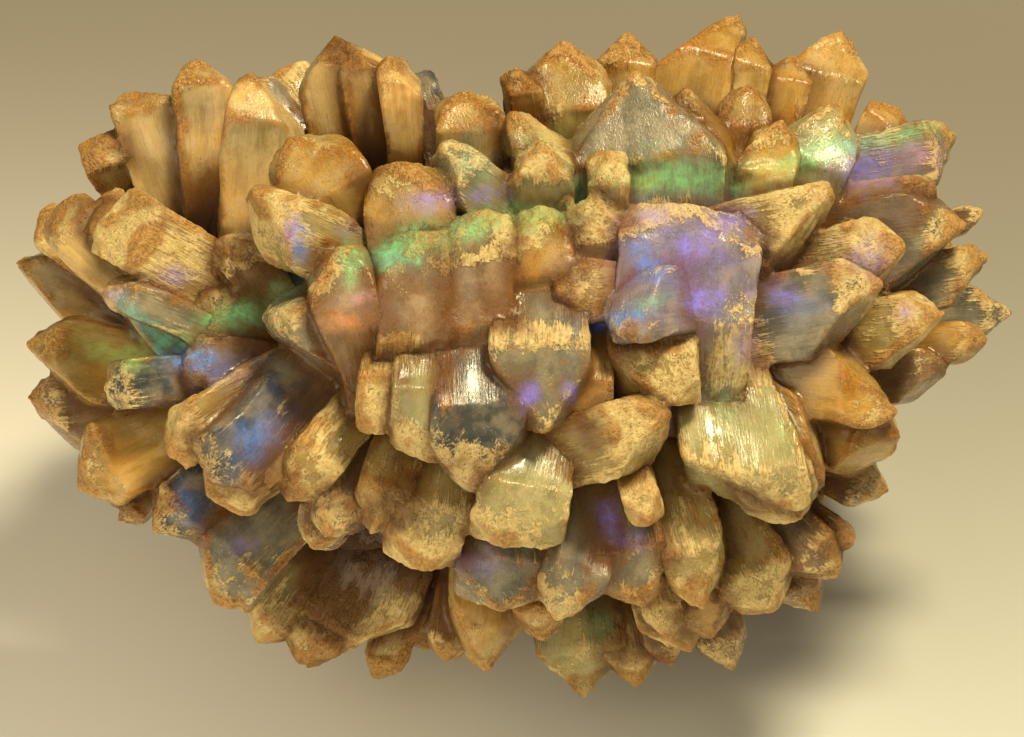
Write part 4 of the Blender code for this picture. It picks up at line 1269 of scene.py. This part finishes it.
class Bench:
    """A material's nodes."""

    def __init__(self, material: bpy.types.Material) -> None:
        """Empties the material's nodes.

        Args:
            material: the material.
        """
        material.use_nodes = True
        self.tree = material.node_tree
        self.tree.nodes.clear()

    def add(self, kind: str, settings: dict[str, object], inputs: dict[object, object],
            output: int | str = 0) -> Wire:
        """Adds a node.

        Args:
            kind: the node's type.
            settings: its settings by name; "stops" are a ramp's places and colours.
            inputs: the value or the wire of each socket, by name or number.
            output: which output is wanted.

        Returns:
            The wire of that output.
        """
        node = self.tree.nodes.new(kind)
        for name, value in settings.items():
            if name == "stops":
                self._stops(node, value)
            else:
                setattr(node, name, value)
        for name, value in inputs.items():
            socket = node.inputs[name]
            if isinstance(value, Wire):
                self.tree.links.new(value.socket, socket)
            else:
                socket.default_value = value
        return Wire(self, node.outputs[output])

    def end(self, shader: Wire) -> None:
        """Makes a shader the surface of the material."""
        node = self.tree.nodes.new("ShaderNodeOutputMaterial")
        self.tree.links.new(shader.socket, node.inputs["Surface"])

    def _stops(self, node: bpy.types.Node, stops: list[tuple[float, Colour]]) -> None:
        """Gives a colour ramp its stops.

        Args:
            node: the colour ramp.
            stops: places from 0 to 1, each with its colour.
        """
        points = node.color_ramp.elements
        while len(points) < len(stops):
            points.new(1.0)
        for point, (where, colour) in zip(points, stops):
            point.position = where
            point.color = (*colour, 1.0)

    def noise(self, vector: Wire, scale: float, detail: float, roughness: float = 0.55) -> Wire:
        """Noise from 0 to 1 over a vector."""
        return self.add("ShaderNodeTexNoise", {}, {"Vector": vector, "Scale": scale, "Detail": detail,
                                                   "Roughness": roughness})

    def stretch(self, vector: Wire, scale: Triple) -> Wire:
        """A vector times another."""
        return self.add("ShaderNodeVectorMath", {"operation": "MULTIPLY"}, {0: vector, 1: scale})

    def mix(self, factor: Wire | float, first: object, second: object, blend: str = "MIX") -> Wire:
        """Mixes two colours."""
        settings = {"data_type": "RGBA", "blend_type": blend, "clamp_factor": True}
        return self.add("ShaderNodeMix", settings, {0: factor, 6: first, 7: second}, 2)

    def attribute(self, name: str, output: str = "Color") -> Wire:
        """What is stored on the mesh under a name."""
        return self.add("ShaderNodeAttribute", {"attribute_name": name}, {}, output)

    def parts(self, vector: Wire) -> tuple[Wire, Wire, Wire]:
        """Splits a vector.

        Args:
            vector: the vector.

        Returns:
            A wire for each of its parts.
        """
        first = self.add("ShaderNodeSeparateXYZ", {}, {"Vector": vector})
        outputs = first.socket.node.outputs
        return first, Wire(self, outputs[1]), Wire(self, outputs[2])

    def channels(self, colour: Wire) -> tuple[Wire, Wire, Wire]:
        """Splits a colour.

        Args:
            colour: the colour.

        Returns:
            A wire for each of its three channels.
        """
        first = self.add("ShaderNodeSeparateColor", {}, {"Color": colour})
        outputs = first.socket.node.outputs
        return first, Wire(self, outputs[1]), Wire(self, outputs[2])


def rgba(colour: Colour) -> tuple[float, float, float, float]:
    """A colour as a socket takes it."""
    return (*colour, 1.0)


@dataclass(frozen=True)
class OpalFinish:
    """Waxy honey opal with amber rims, a thin frosty crust, colour play under the surface with a painted
    glow, and painted shade in the gaps between blades.
    """

    name: str = "opal"
    sand_dark: Colour = (0.42, 0.25, 0.065)
    sand: Colour = (0.64, 0.47, 0.20)
    sand_light: Colour = (0.82, 0.69, 0.40)
    amber: Colour = (0.44, 0.185, 0.016)
    amber_dark: Colour = (0.15, 0.05, 0.006)
    # The next two colours are painted shade: warm dark brown in the gaps between blades, near black where
    # they are deepest
    warm_shade: Colour = (0.14, 0.05, 0.007)
    crevice_shade: Colour = (0.040, 0.014, 0.005)
    dark_tint: Colour = (0.50, 0.42, 0.34)
    dark_cover: float = 0.5
    milk: Colour = (0.72, 0.60, 0.40)
    milk_share: float = 0.35
    milk_cover: float = 0.7
    streak_grain: Triple = (1.3, 1.3, 0.14)
    fibre_grain: Triple = (4.6, 4.6, 0.42)
    cloud_scale: float = 0.38
    granule_scale: float = 2.6
    grit_scale: float = 7.5
    fleck_scale: float = 1.1
    crust_cover: float = 0.85
    stain_cover: float = 0.7
    shade_cover: float = 0.92
    crevice_cover: float = 0.9
    play_cover: float = 0.95
    window_roughness: float = 0.27
    crust_roughness: float = 0.58
    coat: float = 0.35
    coat_roughness: float = 0.1
    refraction: float = 1.45
    scatter: float = 0.35
    scatter_radius: Triple = (1.0, 0.45, 0.15)
    scatter_depth: float = 2.2
    # Emission strength of a painted glow on the colour play
    painted_glow: float = 0.16
    bump_strength: float = 0.8
    bump_height: float = 0.16

    def make(self) -> bpy.types.Material:
        """Makes the material.

        Returns:
            The material, which reads the attributes that a skin stores.
        """
        material = bpy.data.materials.new(self.name)
        bench = Bench(material)
        place = bench.add("ShaderNodeTexCoord", {}, {}, "Object")
        place = bench.stretch(place, (1.0 / MM, 1.0 / MM, 1.0 / MM))
        grain = bench.attribute("grain", "Vector")
        # The channels are crust, stain, painted shade in the gaps, and clearness
        crust, stain, crevice_shade = bench.channels(bench.attribute("wear_and_shade"))
        window = bench.attribute("wear_and_shade", "Alpha")
        fire = bench.attribute("fire")
        strength = bench.attribute("fire", "Alpha")

        streaks = bench.noise(bench.stretch(grain, self.streak_grain), 1.0, 2.0, 0.62)
        fibres = bench.noise(bench.stretch(grain, self.fibre_grain), 1.0, 2.0, 0.65)
        clouds = bench.noise(place, self.cloud_scale, 2.0)
        granules = bench.noise(place, self.granule_scale, 2.0, 0.62)
        grit = bench.noise(place, self.grit_scale, 1.0, 0.6)

        body = self._body(bench, streaks, fibres, clouds)
        broken = (granules - 0.5) * 0.7 + (fibres - 0.5) * 1.9 + (streaks - 0.5) * 0.9
        crusted = (crust + broken).ramp(0.3, 0.8)
        sandy = self._sand(bench, granules, grit, fibres)
        colour = bench.mix(crusted * self.crust_cover, body, sandy)
        stained = (stain + (granules - 0.5) * 0.7 + (streaks - 0.5) * 0.7).ramp(0.15, 0.9)
        amber = bench.mix((grit * 0.5 + granules * 0.5).ramp(0.36, 0.6), rgba(self.amber_dark),
                          rgba(self.amber))
        colour = bench.mix(stained * self.stain_cover, colour, amber)
        # Painted shade: the gaps between blades turn warm dark brown, near black where deepest
        painted_shade = (crevice_shade + (clouds - 0.5) * 0.5 + (streaks - 0.5) * 0.4).ramp(-0.04, 0.55)
        colour = bench.mix(painted_shade * self.shade_cover, colour, rgba(self.warm_shade))
        deepest_shade = (crevice_shade + (clouds - 0.5) * 0.3).ramp(0.45, 1.1)
        colour = bench.mix(deepest_shade * self.crevice_cover, colour, rgba(self.crevice_shade))
        flecks = (bench.noise(place, self.fleck_scale, 2.0, 0.6) * 0.7 + fibres * 0.4).ramp(0.40, 0.68)
        # The colour play is the opal's own; the same amount also drives a painted glow
        play_and_glow = strength * (0.42 + flecks * 0.65) * (1.0 - crusted * 0.4)
        colour = bench.mix(play_and_glow * self.play_cover, colour, fire)

        roughness = self.window_roughness + crusted * (self.crust_roughness - self.window_roughness)
        roughness = roughness + (granules - 0.5) * 0.5 + crevice_shade * 0.15
        height = (granules + grit * 0.3) * (0.2 + crusted * 0.8) + fibres * (0.35 + crusted * 0.8)
        bump = bench.add("ShaderNodeBump", {}, {"Strength": self.bump_strength,
                                                "Distance": self.bump_height * MM, "Height": height})
        # The emission is a painted glow on the colour play
        shader = bench.add("ShaderNodeBsdfPrincipled", {}, {
            "Base Color": colour, "Roughness": roughness, "Coat Weight": window * self.coat,
            "Emission Color": bench.mix(play_and_glow, rgba((0.0, 0.0, 0.0)), fire), "Normal": bump})
        sockets = shader.socket.node.inputs
        for name, value in (("IOR", self.refraction), ("Coat Roughness", self.coat_roughness),
                            ("Emission Strength", self.painted_glow), ("Subsurface Weight", self.scatter),
                            ("Subsurface Radius", self.scatter_radius),
                            ("Subsurface Scale", self.scatter_depth * MM)):
            sockets[name].default_value = value
        bench.end(shader)
        return material

    def _body(self, bench: Bench, streaks: Wire, fibres: Wire, clouds: Wire) -> Wire:
        """Colours what is under the crust: milky, with darker and paler streaks along the blade.

        Args:
            bench: the material's nodes.
            streaks: broad noise along the blade.
            fibres: fine noise along the blade.
            clouds: broad noise that has no direction.

        Returns:
            The colour.
        """
        body = bench.attribute("body")
        darker = bench.mix(1.0, body, rgba(self.dark_tint), "MULTIPLY")
        paler = bench.mix(self.milk_share, body, rgba(self.milk))
        milky = bench.mix(clouds.ramp(0.40, 0.68) * self.milk_cover, body, paler)
        dark = (streaks * 0.45 + fibres * 0.25 + clouds * 0.3).ramp(0.56, 0.40)
        return bench.mix(dark * self.dark_cover, milky, darker)

    def _sand(self, bench: Bench, granules: Wire, grit: Wire, fibres: Wire) -> Wire:
        """Colours the crust: tan and cream grains in streaks, dark in the pits.

        Args:
            bench: the material's nodes.
            granules: noise as coarse as the crust's grains.
            grit: finer noise.
            fibres: fine noise along the blade.

        Returns:
            The colour.
        """
        tone = granules * 0.45 + grit * 0.2 + fibres * 0.4
        return bench.add("ShaderNodeValToRGB", {"stops": [
            (0.36, self.sand_dark), (0.52, self.sand), (0.70, self.sand_light)]}, {"Fac": tone})


@dataclass
class Ball:
    """The ball of blades: which blade grows where, and the skins that they are fused in."""

    show_voxel: float = 0.30
    back_voxel: float = 0.48
    quick_voxel: float = 0.45
    flank: float = 14.0
    first_seed: int = 40
    seed_step: int = 7
    forms: list[tuple[str, Form]] = field(default_factory=list)

    def grow(self) -> None:
        """Places every blade: the drawn ones, the feet and the hidden ones."""
        drawn = self._grow_show_side()
        self._grow_feet()
        self._grow_hidden_side(drawn)

    def _grow_show_side(self) -> list[Vector]:
        """Places the drawn blades.

        Returns:
            Their tips, in mm from the middle of the ball.
        """
        tips = []
        for blade in SHOWN_BLADES:
            tip_out = height_over(blade.tip, 1.0) + blade.lift
            root_out = height_over(blade.root, ROOT_SHARE) + blade.lift * ROOT_SHARE
            tip = on_show_side(blade.tip, tip_out)
            root = on_show_side(blade.root, min(root_out, tip_out * ROOT_SHARE))
            root -= (tip - root).normalized() * ROOT_DEPTH
            side = "show_centre"
            if abs(blade.tip[0]) > self.flank:
                side = "show_left" if blade.tip[0] < 0.0 else "show_right"
            self.forms.append((side, Form(blade, tip, root, OUT)))
            tips.append(tip)
        return tips

    def _foot_tips(self) -> list[Vector]:
        """Tips of the blades that the ball stands on, in mm from its middle."""
        return [Vector((x, y, -CENTRE_HEIGHT - FOOT_OVERRUN)) for x, y in FEET]

    def _hidden_root(self, tip: Vector) -> Vector:
        """Place in the core that a blade of the back or the underside grows from."""
        return Vector((tip.x * SPINE_SHARE, tip.y * STEM_SHARE, tip.z * STEM_SHARE))

    def _grow_feet(self) -> None:
        """Places the blades that the ball stands on."""
        shape = Blade(Look.BROWN, (0, 0), (0, 0), FOOT_WIDTH, FOOT_THICKNESS, (2.0, 2.0), (2.0, 2.0))
        for tip in self._foot_tips():
            side = "back_left" if tip.x < 0.0 else "back_right"
            self.forms.append((side, Form(shape, tip, self._hidden_root(tip), ACROSS)))

    def _grow_hidden_side(self, drawn: list[Vector]) -> None:
        """Places the blades of the back and the underside, clear of the tips of the drawn ones.

        Args:
            drawn: tips of the drawn blades, in mm from the middle of the ball.
        """
        taken = drawn + self._foot_tips()
        chance = random.Random(HIDDEN_SEED)
        looks = random.Random(HIDDEN_SEED + 1)
        palette = [Look.CREAM, Look.HONEY, Look.HONEY, Look.CRUSTED, Look.CRUSTED, Look.GREY, Look.PALE,
                   Look.BROWN, Look.BROWN, Look.SLATE]
        turn = math.pi * (3.0 - math.sqrt(5.0))
        for number in range(HIDDEN_COUNT):
            level = 1.0 - 2.0 * (number + 0.5) / HIDDEN_COUNT
            ring = math.sqrt(1.0 - level * level)
            angle = number * turn
            way = Vector((level * HALF_WIDTH, math.cos(angle) * ring * HALF_GIRTH,
                          math.sin(angle) * ring * HALF_GIRTH))
            share = chance.uniform(*HIDDEN_REACH)
            width = chance.uniform(*HIDDEN_WIDTH)
            thick = chance.uniform(*HIDDEN_THICKNESS)
            shoulders = (chance.uniform(*HIDDEN_SHOULDER), chance.uniform(*HIDDEN_SHOULDER))
            slopes = (chance.uniform(*HIDDEN_FRONT_SLOPE), chance.uniform(*HIDDEN_BACK_SLOPE))
            facing = Vector([chance.gauss(0.0, 1.0) for _ in range(3)])
            if way.dot(OUT) > 0.0:
                share *= INNER_REACH
            tip = way.normalized() * reach(way) * share
            far, seen_from = on_show_plane(tip)
            limit = drawn_outline(seen_from, drawn)
            if far > limit:
                tip *= limit / far
            tip.z = max(tip.z, FLOOR_MARGIN - CENTRE_HEIGHT)
            if min((tip - other).length for other in taken) < HIDDEN_CLEARANCE:
                continue
            blade = Blade(looks.choice(palette), (0, 0), (0, 0), width, thick, shoulders, slopes)
            side = "back_left" if tip.x < 0.0 else "back_right"
            self.forms.append((side, Form(blade, tip, self._hidden_root(tip), facing)))

    def place(self) -> Vector:
        """Works out where the middle of the ball is in the solid's frame.

        Returns:
            The place in metres.
        """
        low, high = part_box(NODE)
        reached = np.concatenate([form.corners() for _, form in self.forms])
        middle = (reached.min(axis=0) + reached.max(axis=0)) / 2.0
        return Vector(((low.x + high.x) / 2.0 - middle[0] * MM, (low.y + high.y) / 2.0 - middle[1] * MM,
                       CENTRE_HEIGHT * MM))

    def skins(self) -> list[Skin]:
        """Sorts the blades into skins.

        Returns:
            The skins, each with its own blades and the rest.
        """
        found = []
        names = ("show_left", "show_centre", "show_right", "back_left", "back_right")
        for number, name in enumerate(names):
            own = [form for side, form in self.forms if side == name]
            rest = [form for side, form in self.forms if side != name]
            voxel = self.show_voxel if name.startswith("show") else self.back_voxel
            found.append(Skin(name, own, rest, voxel, self.first_seed + number * self.seed_step))
        return found

    def heart(self, place: Vector) -> bpy.types.Object:
        """Models the rounded middle that shows between the blades.

        Args:
            place: where the middle of the ball is, in metres.

        Returns:
            The finished mesh, with the attributes that its finish reads.
        """
        bpy.ops.mesh.primitive_ico_sphere_add(subdivisions=5, radius=1.0, enter_editmode=True)
        thing = bpy.context.object
        thing.name = "heart"
        girth = HALF_GIRTH * CORE_SHARE * MM
        bpy.ops.transform.resize(value=(HALF_WIDTH * CORE_SHARE * MM, girth, girth),
                                 center_override=(0.0, 0.0, 0.0))
        bpy.ops.object.mode_set(mode="OBJECT")
        points = places_of(thing.data)
        lumps = Noise(HEART_SEED).layers(points / HEART_LUMP, 3)
        unit = points / np.linalg.norm(points, axis=1)[:, None]
        for name, value in (("body", HEART_BODY), ("wear_and_shade", HEART_WEAR_AND_SHADE), ("fire", (0.0, 0.0, 0.0, 0.0))):
            store(thing.data, name, np.tile(value, (len(points), 1)))
        store(thing.data, "grain", points)
        move_vertices(thing.data, (points + unit * lumps[:, None]) * MM + np.array(place))
        only(thing)
        bpy.ops.object.shade_smooth()
        return thing


@dataclass(frozen=True)
class Lamp:
    """A soft square lamp that shines on the ball, from a direction given as across, rise and out."""

    name: str
    way: Triple
    side: float
    power: float
    colour: Colour


LAMPS = [Lamp("key", (0.30, 0.75, 0.58), 0.2, 11.2, (1.0, 0.86, 0.52)),
         Lamp("fill", (-0.4, 0.0, 0.9), 0.7, 3.2, (1.0, 0.88, 0.58))]


@dataclass
class Studio:
    """Floor, lights and camera. The camera's distances are in mm, the floor's and the lamps' in metres."""

    lens: float = 400.0
    frame_width: float = 102.4
    aim_across: float = 0.2
    aim_rise: float = -1.85
    plane_out: float = 10.0
    lamp_distance: float = 0.9
    room_colour: Colour = (1.0, 0.87, 0.60)
    room_light: float = 0.22
    floor_size: float = 8.0
    floor_roughness: float = 0.7
    # Painted light: paler on the left and glowing there; painted shade: darker at the back
    floor_left_painted_light: Colour = (0.95, 0.97, 0.98)
    floor_right: Colour = (0.66, 0.68, 0.66)
    floor_back_painted_shade: Colour = (0.22, 0.195, 0.165)
    floor_painted_light: Colour = (0.34, 0.27, 0.16)

    def floor(self) -> None:
        """Lays a pale floor under the ball, with painted light that makes it paler and glowing on the left,
        where the ball's shadow falls, and painted shade that darkens it towards the back.
        """
        bpy.ops.mesh.primitive_plane_add(size=self.floor_size, location=(0.0, 0.0, 0.0))
        thing = bpy.context.object
        thing.name = "floor"
        material = bpy.data.materials.new("pale_floor")
        bench = Bench(material)
        place = bench.add("ShaderNodeTexCoord", {}, {}, "Object")
        across, back, _ = bench.parts(place)
        # Painted shade: the floor darkens towards the back
        far = (back * 0.9 + across * 0.1 + bench.noise(place, 2.0, 2.0) * 0.01).ramp(-0.07, 0.10)
        # Painted light: the floor is paler on the left, where the ball's shadow falls
        near = bench.mix(across.ramp(-0.05, 0.05), rgba(self.floor_left_painted_light), rgba(self.floor_right))
        colour = bench.mix(far, near, rgba(self.floor_back_painted_shade))
        # Painted light: the left of the floor glows, lifting the ball's shadow there
        left = (1.0 - far) * across.ramp(0.06, -0.05)
        painted_glow = bench.mix(left, rgba((0.0, 0.0, 0.0)), rgba(self.floor_painted_light))
        shader = bench.add("ShaderNodeBsdfPrincipled", {}, {
            "Base Color": colour, "Roughness": self.floor_roughness, "Emission Color": painted_glow})
        shader.socket.node.inputs["Emission Strength"].default_value = 1.0
        bench.end(shader)
        thing.data.materials.append(material)

    def light(self, lamp: Lamp) -> None:
        """Hangs a lamp that faces the ball.

        Args:
            lamp: what it is like.
        """
        direction = (ACROSS * lamp.way[0] + RISE * lamp.way[1] + OUT * lamp.way[2]).normalized()
        data = bpy.data.lights.new(lamp.name, "AREA")
        data.shape = "SQUARE"
        data.size = lamp.side
        data.energy = lamp.power
        data.color = lamp.colour
        thing = bpy.data.objects.new(lamp.name, data)
        bpy.context.scene.collection.objects.link(thing)
        thing.location = direction * self.lamp_distance + Vector((0.0, 0.0, CENTRE_HEIGHT * MM))
        thing.rotation_euler = direction.to_track_quat("Z", "Y").to_euler()

    def lights(self) -> None:
        """Hangs the lamps and lights the room."""
        for lamp in LAMPS:
            self.light(lamp)
        world = bpy.data.worlds.new("room")
        bpy.context.scene.world = world
        world.use_nodes = True
        background = world.node_tree.nodes["Background"]
        background.inputs["Color"].default_value = rgba(self.room_colour)
        background.inputs["Strength"].default_value = self.room_light

    def camera(self, place: Vector) -> None:
        """Sets the camera up.

        Args:
            place: where the middle of the ball is, in metres.
        """
        lens = bpy.data.cameras.new("camera")
        lens.lens = self.lens
        lens.sensor_width = 36.0
        lens.clip_start = 0.05
        lens.clip_end = 20.0
        thing = bpy.data.objects.new("camera", lens)
        bpy.context.scene.collection.objects.link(thing)
        distance = self.frame_width * self.lens / 36.0 + self.plane_out
        spot = ACROSS * self.aim_across + RISE * self.aim_rise + OUT * distance
        thing.location = spot * MM + place
        thing.rotation_euler = (math.radians(90.0 - SHOW_TILT), 0.0, 0.0)
        bpy.context.scene.camera = thing
        bpy.context.scene.view_settings.view_transform = "Standard"


def dress(piece: bpy.types.Object, finish: bpy.types.Material) -> None:
    """Gives a piece its finish and its place in the part.

    Args:
        piece: the piece.
        finish: its material.
    """
    piece.data.materials.clear()
    piece.data.materials.append(finish)
    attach(piece, "root")
    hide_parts(NODE)
    LOG.info("%s: %d triangles", piece.name, sum(len(face.vertices) - 2 for face in piece.data.polygons))


def main() -> None:
    """Builds the ball, its finish and the studio."""
    logging.basicConfig(level=logging.INFO, format="%(message)s")
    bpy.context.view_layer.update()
    for thing in bpy.context.selected_objects:
        thing.select_set(False)
    ball = Ball()
    ball.grow()
    place = ball.place()
    LOG.info("%d blades, middle at %s", len(ball.forms), tuple(round(value / MM, 2) for value in place))
    finish = OpalFinish().make()
    low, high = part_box(NODE)
    dress(ball.heart(place), finish)
    for skin in ball.skins():
        dress(skin.build(place, (low, high)), finish)
    studio = Studio()
    studio.floor()
    studio.lights()
    studio.camera(place)


if __name__ == "__main__":
    main()
